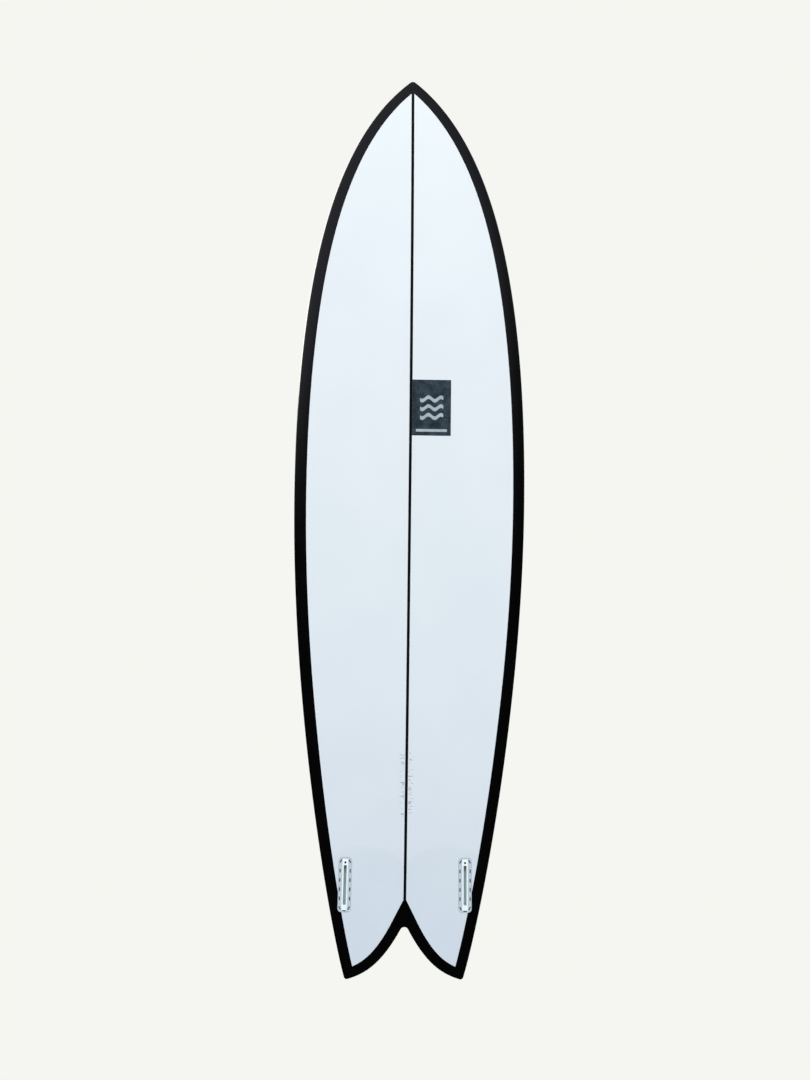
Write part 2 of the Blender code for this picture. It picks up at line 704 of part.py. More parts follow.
def make_fin_box(side, end, looks):
    mount = box_mount(side, f"fin_box_mount_{end}")
    box = joined_box(f"fin_box_{end}", 0.0, 0.0, mount, BOARD, looks["plastic"])

    name = f"fin_slot_{end}"
    slot_data = rounded_slab(name, SLOT_LENGTH, SLOT_WIDTH, SLOT_CORNER, -CUTTER_RUN, SLOT_DEPTH)
    slot = place(name, slot_data, CUTTERS, parent=mount, smooth=False)
    slot.location = (0.0, 0.0, SLOT_SHIFT)
    boolean(box, slot)

    name = f"screw_bore_{end}"
    bore_data = cylinder(name, SCREW_BORE, -SCREW_BORE_DEPTH, CUTTER_RUN)
    bore = place(name, bore_data, CUTTERS, parent=mount)
    bore.location = (0.0, 0.0, SCREW_Z)
    bore.rotation_euler = (math.radians(90.0) - SCREW_TILT, 0.0, 0.0)
    boolean(box, bore)

    for number, (x, z, turn) in enumerate(key_holes()):
        name = f"key_hole_{end}_{number}"
        data = rounded_slab(
            name,
            KEY_HOLE_LENGTH,
            KEY_HOLE_WIDTH,
            KEY_HOLE_ROUNDING,
            -CUTTER_RUN,
            CUTTER_RUN,
            corner_steps=1,
        )
        hole = place(name, data, CUTTERS, parent=mount, smooth=False)
        hole.location = (x, 0.0, z)
        hole.rotation_euler = (0.0, math.radians(turn), 0.0)
        boolean(box, hole)

    name = f"fin_screw_{end}"
    screw_data = cylinder(name, SCREW_DIAMETER, -SCREW_RECESS - SCREW_LENGTH, -SCREW_RECESS)
    screw = place(name, screw_data, BOARD, looks["steel"], parent=mount)
    screw.location = (0.0, 0.0, SCREW_Z)
    screw.rotation_euler = bore.rotation_euler

    pocket = joined_box(f"box_pocket_{end}", GAP, -CUTTER_RUN, mount, CUTTERS)
    for name in (f"bottom_skin_{end}", f"tail_patch_{end}", f"foam_tail_{end}", "rail_lap"):
        boolean(bpy.data.objects[name], pocket)


# ---- leash plug ---------------------------------------------------------------------------------
def plug_mount():
    """An empty on the deck surface, with Z pointing out of the deck."""
    step = 0.001
    levels = np.array([[PLUG_X, PLUG_Z - step], [PLUG_X, PLUG_Z + step], [PLUG_X, PLUG_Z]])
    heights = deck_point(levels, 0.0)[:, 1]
    slope = (heights[1] - heights[0]) / (2 * step)
    mount = bpy.data.objects.new("leash_plug_mount", None)
    bpy.data.collections[BOARD].objects.link(mount)
    mount.rotation_euler = (-0.5 * math.pi - math.atan(slope), 0.0, 0.0)
    mount.location = (PLUG_X, float(heights[2]), PLUG_Z)
    return mount


def turned(name, profile, collection, mount, surface=None, steps=32):
    """A profile of (radius, height) points turned about Z."""
    mesh = bmesh.new()
    points = [mesh.verts.new((radius, 0.0, height)) for radius, height in profile]
    for first, second in zip(points, points[1:]):
        mesh.edges.new((first, second))
    data = bpy.data.meshes.new(name)
    mesh.to_mesh(data)
    mesh.free()
    obj = place(name, data, collection, surface, parent=mount, smooth=False)
    screw = obj.modifiers.new("turn", "SCREW")
    screw.steps = steps
    screw.render_steps = steps
    screw.use_merge_vertices = True
    screw.merge_threshold = 0.00001
    screw.use_normal_calculate = True
    return obj


def make_leash_plug(looks):
    mount = plug_mount()
    outer, inner = PLUG_DIAMETER / 2, CUP_DIAMETER / 2
    profile = [
        (0.0, -CUP_DEPTH),
        (inner - CUP_FLOOR_EDGE, -CUP_DEPTH),
        (inner, CUP_FLOOR_EDGE - CUP_DEPTH),
        (inner, -CUP_EDGE),
        (inner + CUP_EDGE, 0.0),
        (outer - PLUG_EDGE, 0.0),
        (outer, -PLUG_EDGE),
        (outer, -PLUG_RIM),
        (outer - PLUG_STEP, -PLUG_RIM - PLUG_STEP),
        (outer - PLUG_STEP, -PLUG_DEPTH),
        (0.0, -PLUG_DEPTH),
    ]
    cup = turned("leash_cup", profile[::-1], BOARD, mount, looks["plastic"])
    bar_data = cylinder("leash_bar", BAR_DIAMETER, -BAR_LENGTH / 2, BAR_LENGTH / 2)
    bar = place("leash_bar", bar_data, BOARD, looks["steel"], parent=mount)
    hole_data = cylinder("bar_hole", BAR_DIAMETER + 2 * GAP, -PLUG_DIAMETER, PLUG_DIAMETER)
    bar_hole = place("bar_hole", hole_data, CUTTERS, parent=mount)
    for obj in (bar_hole, bar):
        obj.location = (0.0, 0.0, -BAR_DEPTH)
        obj.rotation_euler = (0.0, math.radians(90.0), 0.0)
    boolean(cup, bar_hole)
    pocket_data = cylinder(
        "plug_pocket",
        PLUG_DIAMETER + 2 * GAP,
        -PLUG_DEPTH - GAP,
        CUTTER_RUN,
        segments=32,
    )
    pocket = place("plug_pocket", pocket_data, CUTTERS, parent=mount)
    for name in ("deck_skin_right", "foam_tail_right"):
        boolean(bpy.data.objects[name], pocket)


def main():
    for obj in list(bpy.data.objects):
        bpy.data.objects.remove(obj, do_unlink=True)
    for name in (BOARD, CUTTERS):
        collection = bpy.data.collections.new(name)
        bpy.context.scene.collection.children.link(collection)

    looks = {
        "white": material("white_laminate", (0.78, 0.83, 0.88), 0.18, coat=0.5),
        "black": material("black_rail_resin", (0.006, 0.006, 0.008), 0.15, coat=0.5),
        "foam": material("white_foam", (0.85, 0.84, 0.78), 0.85),
        "stringer": material("black_stained_wood", (0.010, 0.009, 0.009), 0.45),
        "cloth": material("glass_cloth", (0.70, 0.75, 0.78), 0.5),
        "slate": material("slate_label", (0.030, 0.045, 0.060), 0.25, coat=0.4),
        "plastic": material("white_plastic", (0.80, 0.85, 0.88), 0.35),
        "steel": material("stainless_steel", (0.55, 0.55, 0.56), 0.3, metallic=1.0),
    }
    make_skins(looks)
    make_cores(looks)
    make_stringer(looks)
    make_tail_patches(looks)
    make_label(looks)
    for side, end in ((-1, "left"), (1, "right")):
        make_fin_box(side, end, looks)
    make_leash_plug(looks)


main()
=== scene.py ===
"""Looks of the swallow-tail surfboard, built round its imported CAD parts."""

import math

import bmesh
import bpy
import numpy as np
from mathutils import Euler, Matrix, Vector


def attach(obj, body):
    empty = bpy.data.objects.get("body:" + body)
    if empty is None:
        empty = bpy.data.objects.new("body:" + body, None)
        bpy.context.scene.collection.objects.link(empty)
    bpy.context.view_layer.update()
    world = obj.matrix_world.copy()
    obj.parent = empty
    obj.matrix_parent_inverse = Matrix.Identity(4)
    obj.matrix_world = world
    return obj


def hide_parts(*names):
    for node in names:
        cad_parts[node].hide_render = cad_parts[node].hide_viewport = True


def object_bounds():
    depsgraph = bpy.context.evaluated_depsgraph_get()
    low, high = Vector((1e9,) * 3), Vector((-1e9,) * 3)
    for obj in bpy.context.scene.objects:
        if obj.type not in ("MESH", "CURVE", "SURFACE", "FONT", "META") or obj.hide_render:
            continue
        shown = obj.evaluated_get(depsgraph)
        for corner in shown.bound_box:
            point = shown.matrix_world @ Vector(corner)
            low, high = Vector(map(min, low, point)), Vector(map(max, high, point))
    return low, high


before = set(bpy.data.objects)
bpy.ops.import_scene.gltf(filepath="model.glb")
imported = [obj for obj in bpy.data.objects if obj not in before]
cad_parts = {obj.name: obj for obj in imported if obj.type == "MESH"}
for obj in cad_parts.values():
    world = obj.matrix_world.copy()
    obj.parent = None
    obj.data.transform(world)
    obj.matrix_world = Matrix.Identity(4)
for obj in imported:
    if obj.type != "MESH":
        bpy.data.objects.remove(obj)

CAD_LOW, CAD_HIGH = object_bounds()

# ---- the board's shape, as in its CAD source -------------
LENGTH = CAD_HIGH.z
HALF_WIDTH = CAD_HIGH.x
THICKNESS = 0.070
NOSE_CORNER = (0.0, LENGTH + 0.0027)
NOSE_HANDLE = (0.201, LENGTH - 0.152)
WIDE_POINT = 1.151
WIDE_HANDLE_UP = 0.509
WIDE_HANDLE_DOWN = 0.550
TIP_CORNER = (0.142, -0.0016)
TIP_HANDLE_OUTER = (0.164, 0.065)
TIP_HANDLE_NOTCH = (0.0873, 0.0133)
NOTCH_HANDLE = (0.0486, 0.0431)
NOTCH_CORNER = (0.0, 0.1399)
NOSE_ROUNDING = 0.010
TIP_ROUNDING = 0.007
CROTCH_ROUNDING = 0.010
NOSE_ROCKER = 0.118
TAIL_ROCKER = 0.046
NOSE_ROCKER_POWER = 2.5
TAIL_ROCKER_POWER = 2.2
LOW_POINT = 0.45 * LENGTH
THICK_POINT = 1.120
NOSE_THICKNESS = 0.012
TAIL_THICKNESS = 0.018
NOSE_TAPER_POWER = 2.2
TAIL_TAPER_POWER = 1.9
DOME = 0.28
DOME_MARGIN = 0.005
APEX_SHARE_NOSE = 0.42
APEX_SHARE_TAIL = 0.22
HARD_RAIL_LENGTH = 0.70
BAND_BOTTOM = 0.0290
BAND_BOTTOM_NOSE = 0.0245
BAND_BOTTOM_TAIL = 0.0260
BAND_NOTCH_TIP = 0.0264
BAND_NOTCH_CROTCH = 0.0280
BAND_NARROWS_FORWARD_OF = 1.500
BAND_NARROWS_AFT_OF = 0.600
BAND_NARROWING_POWER = 1.5
BAND_DECK_EXTRA = 0.0105
SKIN = 0.0012
STRINGER_THICKNESS = 0.0064
STRINGER_COVER = 0.0018
STRINGER_TIP = 0.004
PATCH_CENTRE = (0.100, 0.180)
PATCH_RADIUS = 0.145
SEAM = 0.00004  # the hairline between laminated pieces, too fine to see

# ---- how finely the surfaces are stepped -----------------
CURVE_POINTS = 2401
MEETING_LEVELS = 16001
ARC_POINTS = 65
STEPS_NOSE = 12
ROWS_MAIN = 200
ROWS_NOTCH = 40
ROWS_CROTCH = 10
STEPS_TIP = 14
STEPS_ACROSS = 20
STEPS_RAIL_BOTTOM = 14
STEPS_RAIL_DECK = 16
ROW_CROWDING = 1.6
STEPS_STRINGER_END = 8
LABEL_COLUMNS = 24
LABEL_ROWS = 32
WINDOW_CORNER_STEPS = 4
HOLE_CORNER_STEPS = 6
RIB_CORNER_STEPS = 10
FLANGE_CORNER_STEPS = 16
SMALL_TURN = 48  # segments round a screw, a bore or a bar
LARGE_TURN = 96  # segments round the leash plug
SLOPE_STEP = 0.001  # half the run over which a slope is taken
MERGE_DISTANCE = 1e-6
SMOOTH_ANGLE = math.radians(32.0)

# ---- sizes of the fittings, as in the CAD source ---------
BOX_X = 0.1445
BOX_Z = 0.232
BOX_TOE = math.radians(1.0)
BOX_SINK = 0.00025
FLANGE_LENGTH = 0.135
FLANGE_WIDTH = 0.032
FLANGE_THICKNESS = 0.0025
FLANGE_CORNER = 0.010
FLANGE_EDGE = 0.0003
BODY_LENGTH = 0.126
BODY_WIDTH = 0.0132
BODY_DEPTH = 0.020
BODY_CORNER = 0.004
RIB_TOP = [(-0.00035, -0.00012), (-0.0001, -0.00002), (0.0, 0.0002)]  # a soft edge, just proud
RIB_FOOT = 0.001
SLOT_LENGTH = 0.097
SLOT_WIDTH = 0.0069
SLOT_DEPTH = 0.017
SLOT_CORNER = 0.0016
SLOT_SHIFT = -0.001
SLOT_LIP = [(0.0005, -0.0002), (0.0, 0.0004)]
SLOT_FLOOR_EDGE = 0.0006
KEY_HOLE_LENGTH = 0.0095
KEY_HOLE_WIDTH = 0.0027
KEY_HOLE_DEPTH = 0.0021
KEY_HOLE_INSET = 0.0038
KEY_HOLE_PITCH = 0.0226
KEY_HOLE_CORNER_SHIFT = (0.0015, 0.0065)
KEY_HOLE_CORNER_TURN = 30.0
KEY_HOLE_LIP = 0.0004
KEY_HOLE_FLAT = 0.0001
SCREW_Z = 0.0545
SCREW_TILT = math.radians(30.0)
SCREW_BORE = 0.0050
SCREW_BORE_DEPTH = 0.0155
SCREW_DIAMETER = 0.0042
SCREW_LENGTH = 0.008
SCREW_RECESS = 0.0015
SCREW_PITCH = 0.0008
THREAD_START, THREAD_ROOT, THREAD_CREST = 0.75, 0.30, 0.08  # in pitches
THREAD_DEPTH = 0.0003
SCREW_TAIL_EDGE = 0.0004
SOCKET_WIDTH = 0.0022
SOCKET_DEPTH = 0.0022
SOCKET_POINT_DEPTH = 0.0028
SOCKET_RUN = 0.002
PLUG_X = 0.030
PLUG_Z = 0.262
PLUG_DIAMETER = 0.030
PLUG_RIM = 0.0015
PLUG_DEPTH = 0.020
PLUG_STEP = 0.0008
PLUG_OUTER_EDGE = 0.0005
PLUG_INNER_EDGE = 0.0007
CUP_DIAMETER = 0.022
CUP_DEPTH = 0.016
CUP_FLOOR_EDGE = 0.002
BAR_DIAMETER = 0.0034
BAR_DEPTH = 0.0055
BAR_LENGTH = 0.027
BAR_EDGE = 0.0003
BAR_CLEARANCE = 0.0001
LABEL_WIDTH = 0.0925
LABEL_HEIGHT = 0.134
LABEL_Z = 1.377
LABEL_THICKNESS = 0.0009
LABEL_LEFT = STRINGER_THICKNESS / 2 + 0.0003
LABEL_CENTRE = LABEL_LEFT + LABEL_WIDTH / 2
WINDOW_CORNER = 0.0008
WINDOW_LEVELS = [(SEAM, -0.020), (SEAM, 0.040)]
CUTTER_RUN = 0.010

# ---- tones, and where the marks in the looks lie ---------
WHITE = (0.700, 0.755, 0.810)
WHITE_DIM = (0.684, 0.740, 0.798)
CLOTH_PITCH = 0.0014
GLUE_LINE = STRINGER_THICKNESS / 2 + 0.0002
GLUE_EDGE = (GLUE_LINE + 0.0002, GLUE_LINE - 0.0001)
GLUE_TONE = (0.004, 0.004, 0.005)
PATCH_TONE = (0.565, 0.640, 0.715)
PATCH_SHOWS = 0.22
PATCH_EDGE = 0.006
PATCH_CLOTH_PITCH = 0.0016
PENCIL_TONE = (0.16, 0.19, 0.24)
PENCIL_SHOWS = 0.60
PENCIL_RUN = (0.395, 0.402, 0.548, 0.556)  # up the board: starts, is full, is full, ends
PENCIL_COLUMN = (0.0045, 0.0055, 0.0150, 0.0175)  # the same, out from the centreline
PENCIL_STRETCH = (70.0, 1.0, 330.0)
BLACK = ((0.0004, 0.0004, 0.0006), (0.0011, 0.0010, 0.0011))
FOAM = ((0.80, 0.78, 0.70), (0.88, 0.87, 0.82))
WOOD = ((0.0008, 0.0008, 0.0010), (0.0030, 0.0026, 0.0024))
CLOTH = ((0.55, 0.61, 0.66), (0.74, 0.79, 0.82))
SLATE = ((0.006, 0.014, 0.022), (0.026, 0.048, 0.072))
SLATE_SPECKS = (0.14, 0.20, 0.25)
PRINT_TONE = (0.37, 0.44, 0.49)
WAVE_LENGTH = 0.030
WAVE_SWING = 0.0042
WAVE_PITCH = 0.021
WAVE_LINE = (0.24, 0.18)  # half a wave's thickness in pitches, from its outer to its inner edge
WAVES_HALF_HEIGHT = (0.0300, 0.0285)
WAVES_HALF_WIDTH = (0.0285, 0.0270)
BAR_BELOW_CENTRE = 0.0545
BAR_HALF_HEIGHT = (0.0036, 0.0028)
BAR_HALF_WIDTH = (0.0375, 0.0365)
FLANGE_DARK = (0.44, 0.51, 0.56)
FLANGE_PALE = (0.58, 0.65, 0.70)
RIM_TONE = (0.24, 0.29, 0.36)
RIM_SHOWS = 0.45
RIM_LINE = (0.0016, 0.0004)  # the flange's darker rim, in from its edge
RIB = ((0.80, 0.88, 0.90), (0.92, 0.97, 0.97))
RIB_MARGIN = (0.0004, -0.0002)
# painted shade inside the fin box's slot: paler at its rear, darker at its front, and only below
# the slot's lip
SLOT_SHADE_REAR = (0.58, 0.72, 0.75)
SLOT_SHADE_FRONT = (0.24, 0.29, 0.30)
SLOT_SHADE = (0.022, 0.044)  # along the box, where the slot's tone turns to that of its front
SLOT_SHADE_DEPTHS = (0.0004, 0.0026)  # in depth, as for the holes
# painted shade down the screw bore, from where it starts along the box
BORE_SHADE = (0.010, 0.014, 0.020)
BORE_STARTS = (0.0478, 0.0484)  # along the box
# the key holes darken with depth, for their dark resin fill and for painted shade
HOLE_RESIN_AND_SHADE = (0.050, 0.070, 0.110)
HOLE_RESIN_AND_SHADE_DEPTHS = (0.0003, 0.0010)
CUP = ((0.76, 0.80, 0.81), (0.86, 0.89, 0.89))
STAINLESS = ((0.46, 0.46, 0.47), (0.64, 0.64, 0.65))
BLACKENED = ((0.012, 0.013, 0.016), (0.030, 0.032, 0.036))

# ---- light and camera ------------------------------------
BACKDROP = (0.9131, 0.9216, 0.8796)
FLOOR_SIZE = 60.0
FLOOR_GAP = 0.002
FILL = (0.672, 0.745, 0.862)
ROOM_DARK = (0.001, 0.001, 0.001)
ROOM_PALE = (0.29, 0.30, 0.35)
ROOM_HORIZON = (-0.05, 0.50)
ROOM_LEFT_GAIN = -0.70
ROOM_GAIN = 0.97
KEY = (1.0, 0.90, 0.66)
LIGHTS = (  # name, place, target, size, power, colour, shown in reflections
    ("key", (0.0, -3.0, 1.2), (0.0, 0.0, 1.35), (3.4, 2.4), 42.0, KEY, False),
    ("top", (0.0, -1.2, 4.0), (0.0, 0.1, 2.1), (1.2, 0.6), 28.8, KEY, False),
    ("back", (-1.6, 3.2, 3.0), (0.0, 0.0, 1.1), (2.6, 2.6), 90.0, (1.0, 0.95, 0.88), True),
)
CAMERA_PLACE = (-0.1528, -4.290, 1.060)
CAMERA_SENSOR = 36.0
CAMERA_LENS = 59.98
CAMERA_REACH = 200.0
CAMERA_TILT = math.radians(90.0)
CAMERA_ROLL = math.radians(-0.67)
CAMERA_PAN = math.radians(-1.90)


# ---- curves ----------------------------------------------
def bezier(start, start_handle, end_handle, end):
    t = np.linspace(0.0, 1.0, CURVE_POINTS)[:, None]
    s = 1.0 - t
    shares = (s**3, 3 * s * s * t, 3 * s * t * t, t**3)
    corners = (start, start_handle, end_handle, end)
    return sum(share * np.array(corner) for share, corner in zip(shares, corners))


def inward_normals(curve):
    tangent = np.gradient(curve, axis=0)
    tangent /= np.linalg.norm(tangent, axis=1)[:, None]
    return np.column_stack([tangent[:, 1], -tangent[:, 0]])


def inset(curve, distance):
    return curve + inward_normals(curve) * np.reshape(distance, (-1, 1))


def at_index(curve, index):
    steps = np.arange(len(curve))
    return np.column_stack([np.interp(index, steps, curve[:, axis]) for axis in (0, 1)])


def index_where_x(curve, x):
    steps = np.arange(len(curve))
    order = np.argsort(curve[:, 0][: len(curve) // 3])
    return float(np.interp(x, curve[order, 0], steps[order]))


def index_where_z(curve, z):
    order = np.argsort(curve[:, 1])
    return float(np.interp(z, curve[order, 1], np.arange(len(curve))[order]))


def running_length(curve):
    steps = np.linalg.norm(np.diff(curve, axis=0), axis=1)
    return np.concatenate([[0.0], np.cumsum(steps)])


def resample(curve, shares):
    run = running_length(curve)
    wanted = np.asarray(shares) * run[-1]
    return np.column_stack([np.interp(wanted, run, curve[:, axis]) for axis in (0, 1)])


def piece_of(curve, first, last):
    whole = np.arange(math.floor(first) + 1, math.ceil(last))
    return np.vstack([at_index(curve, [first]), curve[whole], at_index(curve, [last])])


def meeting_point(rail, notch):
    levels = np.linspace(notch[:, 1].min(), notch[:, 1].max(), MEETING_LEVELS)
    rail_x = np.interp(levels, rail[::-1, 1], rail[::-1, 0])
    order = np.argsort(notch[:, 1])
    notch_x = np.interp(levels, notch[order, 1], notch[order, 0])
    inside = np.argmax(rail_x > notch_x)
    return np.array([rail_x[inside], levels[inside]])


def arc(centre, radius, start_direction, end_direction):
    start = math.atan2(start_direction[1], start_direction[0])
    end = math.atan2(end_direction[1], end_direction[0])
    if end - start > math.pi:
        end -= 2 * math.pi
    angles = np.linspace(start, end, ARC_POINTS)
    return np.asarray(centre) + radius * np.column_stack([np.cos(angles), np.sin(angles)])


def sharp_outline():
    wide = (HALF_WIDTH, WIDE_POINT)
    upper = bezier(NOSE_CORNER, NOSE_HANDLE, (HALF_WIDTH, WIDE_POINT + WIDE_HANDLE_UP), wide)
    lower = bezier(wide, (HALF_WIDTH, WIDE_POINT - WIDE_HANDLE_DOWN), TIP_HANDLE_OUTER, TIP_CORNER)
    notch = bezier(TIP_CORNER, TIP_HANDLE_NOTCH, NOTCH_HANDLE, NOTCH_CORNER)
    onward = np.array(NOTCH_CORNER) - np.array(NOTCH_HANDLE)
    run_on = notch[-1] + np.linspace(0.0, 1.0, CURVE_POINTS // 4)[1:, None] * onward
    return np.vstack([upper, lower[1:]]), np.vstack([notch, run_on])


RAIL_LINE, NOTCH_LINE = sharp_outline()


def rounded_outline():
    """Nose arc, rail, tip arc, notch and crotch arc, end to end."""
    rail_normals = inward_normals(RAIL_LINE)
    notch_normals = inward_normals(NOTCH_LINE)

    nose_rail = inset(RAIL_LINE, NOSE_ROUNDING)
    nose_index = index_where_x(nose_rail, 0.0)
    nose_centre = at_index(nose_rail, [nose_index])[0]
    nose_end = -at_index(rail_normals, [nose_index])[0]
    nose_arc = arc(nose_centre, NOSE_ROUNDING, (0.0, 1.0), nose_end)

    tip_rail = inset(RAIL_LINE, TIP_ROUNDING)
    tip_notch = inset(NOTCH_LINE, TIP_ROUNDING)
    tip_centre = meeting_point(tip_rail, tip_notch)
    rail_end = index_where_z(tip_rail, tip_centre[1])
    notch_start = index_where_z(tip_notch, tip_centre[1])
    tip_arc = arc(
        tip_centre,
        TIP_ROUNDING,
        -at_index(rail_normals, [rail_end])[0],
        -at_index(notch_normals, [notch_start])[0],
    )

    air_side = inset(NOTCH_LINE, -CROTCH_ROUNDING)[::-1]
    crotch_index = len(air_side) - 1 - index_where_x(air_side, 0.0)
    crotch_centre = np.array([0.0, at_index(air_side[::-1], [crotch_index])[0, 1]])
    crotch_start = at_index(notch_normals, [crotch_index])[0]
    crotch_arc = arc(crotch_centre, CROTCH_ROUNDING, crotch_start, (0.0, 1.0))

    rail = piece_of(RAIL_LINE, nose_index, rail_end)
    notch = piece_of(NOTCH_LINE, notch_start, crotch_index)
    return nose_arc, rail, tip_arc, notch, crotch_arc


ROUNDED = rounded_outline()


# ---- heights ---------------------------------------------
def rocker(z):
    forward = np.clip((z - LOW_POINT) / (LENGTH - LOW_POINT), 0.0, None)
    aft = np.clip((LOW_POINT - z) / LOW_POINT, 0.0, None)
    nose_lift = NOSE_ROCKER * forward**NOSE_ROCKER_POWER
    return nose_lift + TAIL_ROCKER * aft**TAIL_ROCKER_POWER


def centre_thickness(z):
    forward = np.clip((z - THICK_POINT) / (LENGTH - THICK_POINT), 0.0, 1.0)
    aft = np.clip((THICK_POINT - z) / THICK_POINT, 0.0, 1.0)
    nose_side = (THICKNESS - NOSE_THICKNESS) * forward**NOSE_TAPER_POWER
    tail_side = (THICKNESS - TAIL_THICKNESS) * aft**TAIL_TAPER_POWER
    return THICKNESS - nose_side - tail_side


def half_width(z):
    return np.interp(z, RAIL_LINE[::-1, 1], RAIL_LINE[::-1, 0])


def thickness(x, z):
    reach = np.clip(np.abs(x) / (half_width(z) + DOME_MARGIN), 0.0, 1.0)
    return centre_thickness(z) * (1.0 - DOME * reach**2)


def apex_height(z):
    share = np.clip(z / HARD_RAIL_LENGTH, 0.0, 1.0)
    share = share * share * (3.0 - 2.0 * share)
    share = APEX_SHARE_TAIL + (APEX_SHARE_NOSE - APEX_SHARE_TAIL) * share
    return share * centre_thickness(z) * (1.0 - DOME)


def bottom_point(plan, depth, fullness=1.0):
    x, z = plan[..., 0], plan[..., 1]
    y = rocker(z) + depth + (apex_height(z) - depth) * (1.0 - fullness)
    return np.stack([x, y, z], axis=-1)


def deck_point(plan, depth, fullness=1.0):
    x, z = plan[..., 0], plan[..., 1]
    apex = apex_height(z)
    y = rocker(z) + apex + (thickness(x, z) - depth - apex) * fullness
    return np.stack([x, y, z], axis=-1)


# ---- plan grids ------------------------------------------
def rail_band(z):
    run = LENGTH - BAND_NARROWS_FORWARD_OF
    forward = np.clip((z - BAND_NARROWS_FORWARD_OF) / run, 0.0, 1.0)
    aft = np.clip(1.0 - z / BAND_NARROWS_AFT_OF, 0.0, 1.0)
    nose_loss = (BAND_BOTTOM - BAND_BOTTOM_NOSE) * forward**BAND_NARROWING_POWER
    tail_loss = (BAND_BOTTOM - BAND_BOTTOM_TAIL) * aft
    return BAND_BOTTOM - nose_loss - tail_loss


def notch_band(z):
    share = np.clip(z / NOTCH_CORNER[1], 0.0, 1.0)
    return BAND_NOTCH_TIP + (BAND_NOTCH_CROTCH - BAND_NOTCH_TIP) * share**2


def lens_rows(extra, side_cut):
    """Matching points on a skin panel's outer and inner edge, from its nose to its tail corner."""
    rail = inset(RAIL_LINE, rail_band(RAIL_LINE[:, 1]) + extra)
    notch = inset(NOTCH_LINE, notch_band(NOTCH_LINE[:, 1]) + extra)
    corner = meeting_point(rail, notch)
    nose_z = at_index(rail, [index_where_x(rail, side_cut)])[0, 1]
    from_crotch = notch[::-1]
    fork_index = len(notch) - 1 - index_where_x(from_crotch, side_cut)
    fork_z = at_index(notch, [fork_index])[0, 1]

    shares = np.linspace(1.0, 0.0, ROWS_MAIN + 1)
    main_z = fork_z + (nose_z - fork_z) * (1.0 - (1.0 - shares) ** ROW_CROWDING)
    rows_tail = ROWS_NOTCH + ROWS_CROTCH
    tail_z = np.linspace(fork_z, corner[1], rows_tail + 1)[1:]
    rows_z = np.concatenate([main_z, tail_z])
    outer = np.column_stack([np.interp(rows_z, rail[::-1, 1], rail[::-1, 0]), rows_z])
    outer[0] = (side_cut, nose_z)
    outer[-1] = corner

    along_notch = piece_of(notch, index_where_z(notch, corner[1]), fork_index)[::-1]
    inner_tail = resample(along_notch, np.linspace(0.0, 1.0, rows_tail + 1))
    inner_tail[0] = (side_cut, fork_z)
    inner_tail[-1] = corner
    inner_main = np.column_stack([np.full(ROWS_MAIN, side_cut), main_z[:-1]])
    return outer, np.vstack([inner_main, inner_tail])


def squared_ends(outer, inner, extra):
    """The lap's band lines, cut square to the stringer where they reach the centreline."""
    half = STRINGER_THICKNESS / 2
    outer_at, inner_at = lens_rows(extra, half)
    outer, inner = outer.copy(), inner.copy()
    near = outer[:, 0] <= half
    outer[near, 1] = np.minimum(outer[near, 1], outer_at[0, 1])
    near = np.arange(len(inner)) >= ROWS_MAIN
    near &= inner[:, 0] <= half
    inner[near, 1] = inner_at[ROWS_MAIN, 1]
    return outer, inner


def rim_stations(depth, side_cut, guide):
    whole = inset(np.vstack([ROUNDED[0]] + [part[1:] for part in ROUNDED[1:]]), depth)
    ends = np.cumsum([len(part) - 1 for part in ROUNDED])
    whole[0, 0] = whole[-1, 0] = 0.0
    start = index_where_x(whole, side_cut)
    stop = len(whole) - 1 - index_where_x(whole[::-1], side_cut)
    run = running_length(guide)
    parts = [
        resample(piece_of(whole, start, ends[0]), np.linspace(0, 1, STEPS_NOSE + 1)),
        resample(whole[ends[0] : ends[1] + 1], run / run[-1])[1:],
        resample(whole[ends[1] : ends[2] + 1], np.linspace(0, 1, STEPS_TIP + 1))[1:],
        resample(whole[ends[2] : ends[3] + 1], np.linspace(0, 1, ROWS_NOTCH + 1))[1:],
        resample(piece_of(whole, ends[3], stop), np.linspace(0, 1, ROWS_CROTCH + 1))[1:],
    ]
    stations = np.vstack(parts)
    stations[0, 0] = stations[-1, 0] = side_cut
    return stations


def band_stations(outer, inner):
    nose = np.repeat(outer[:1], STEPS_NOSE, axis=0)
    corner = np.repeat(outer[-1:], STEPS_TIP, axis=0)
    notch = inner[ROWS_MAIN:-1][::-1]
    return np.vstack([nose, outer, corner, notch])


def rail_strip(depth):
    """The rail's surface, a row for each station from the bottom's band line to the deck's."""
    guide = lens_rows(0.0, 0.0)
    bottom_line = band_stations(*squared_ends(*guide, 0.0))
    deck_line = band_stations(*squared_ends(*lens_rows(BAND_DECK_EXTRA, 0.0), BAND_DECK_EXTRA))
    rim = rim_stations(depth, 0.0, guide[0])
    columns = []
    for step in range(STEPS_RAIL_BOTTOM, 0, -1):
        angle = 0.5 * math.pi * step / STEPS_RAIL_BOTTOM
        plan = rim + (1.0 - math.cos(angle)) * (bottom_line - rim)
        columns.append(bottom_point(plan, depth, math.sin(angle)))
    for step in range(STEPS_RAIL_DECK + 1):
        angle = 0.5 * math.pi * step / STEPS_RAIL_DECK
        plan = rim + (1.0 - math.cos(angle)) * (deck_line - rim)
        columns.append(deck_point(plan, depth, math.sin(angle)))
    return np.stack(columns, axis=1)


def panel_grid(point, depth, extra, side_cut):
    outer, inner = lens_rows(extra, side_cut)
    across = np.linspace(0.0, 1.0, STEPS_ACROSS + 1)[None, :, None]
    plan = inner[:, None, :] * (1.0 - across) + outer[:, None, :] * across
    return point(plan, depth)


# ---- meshes ----------------------------------------------
def add_grid(mesh, grid):
    rows = [[mesh.verts.new(point) for point in row] for row in grid]
    for upper, lower in zip(rows, rows[1:]):
        for i in range(len(upper) - 1):
            mesh.faces.new((upper[i], upper[i + 1], lower[i + 1], lower[i]))
    return rows


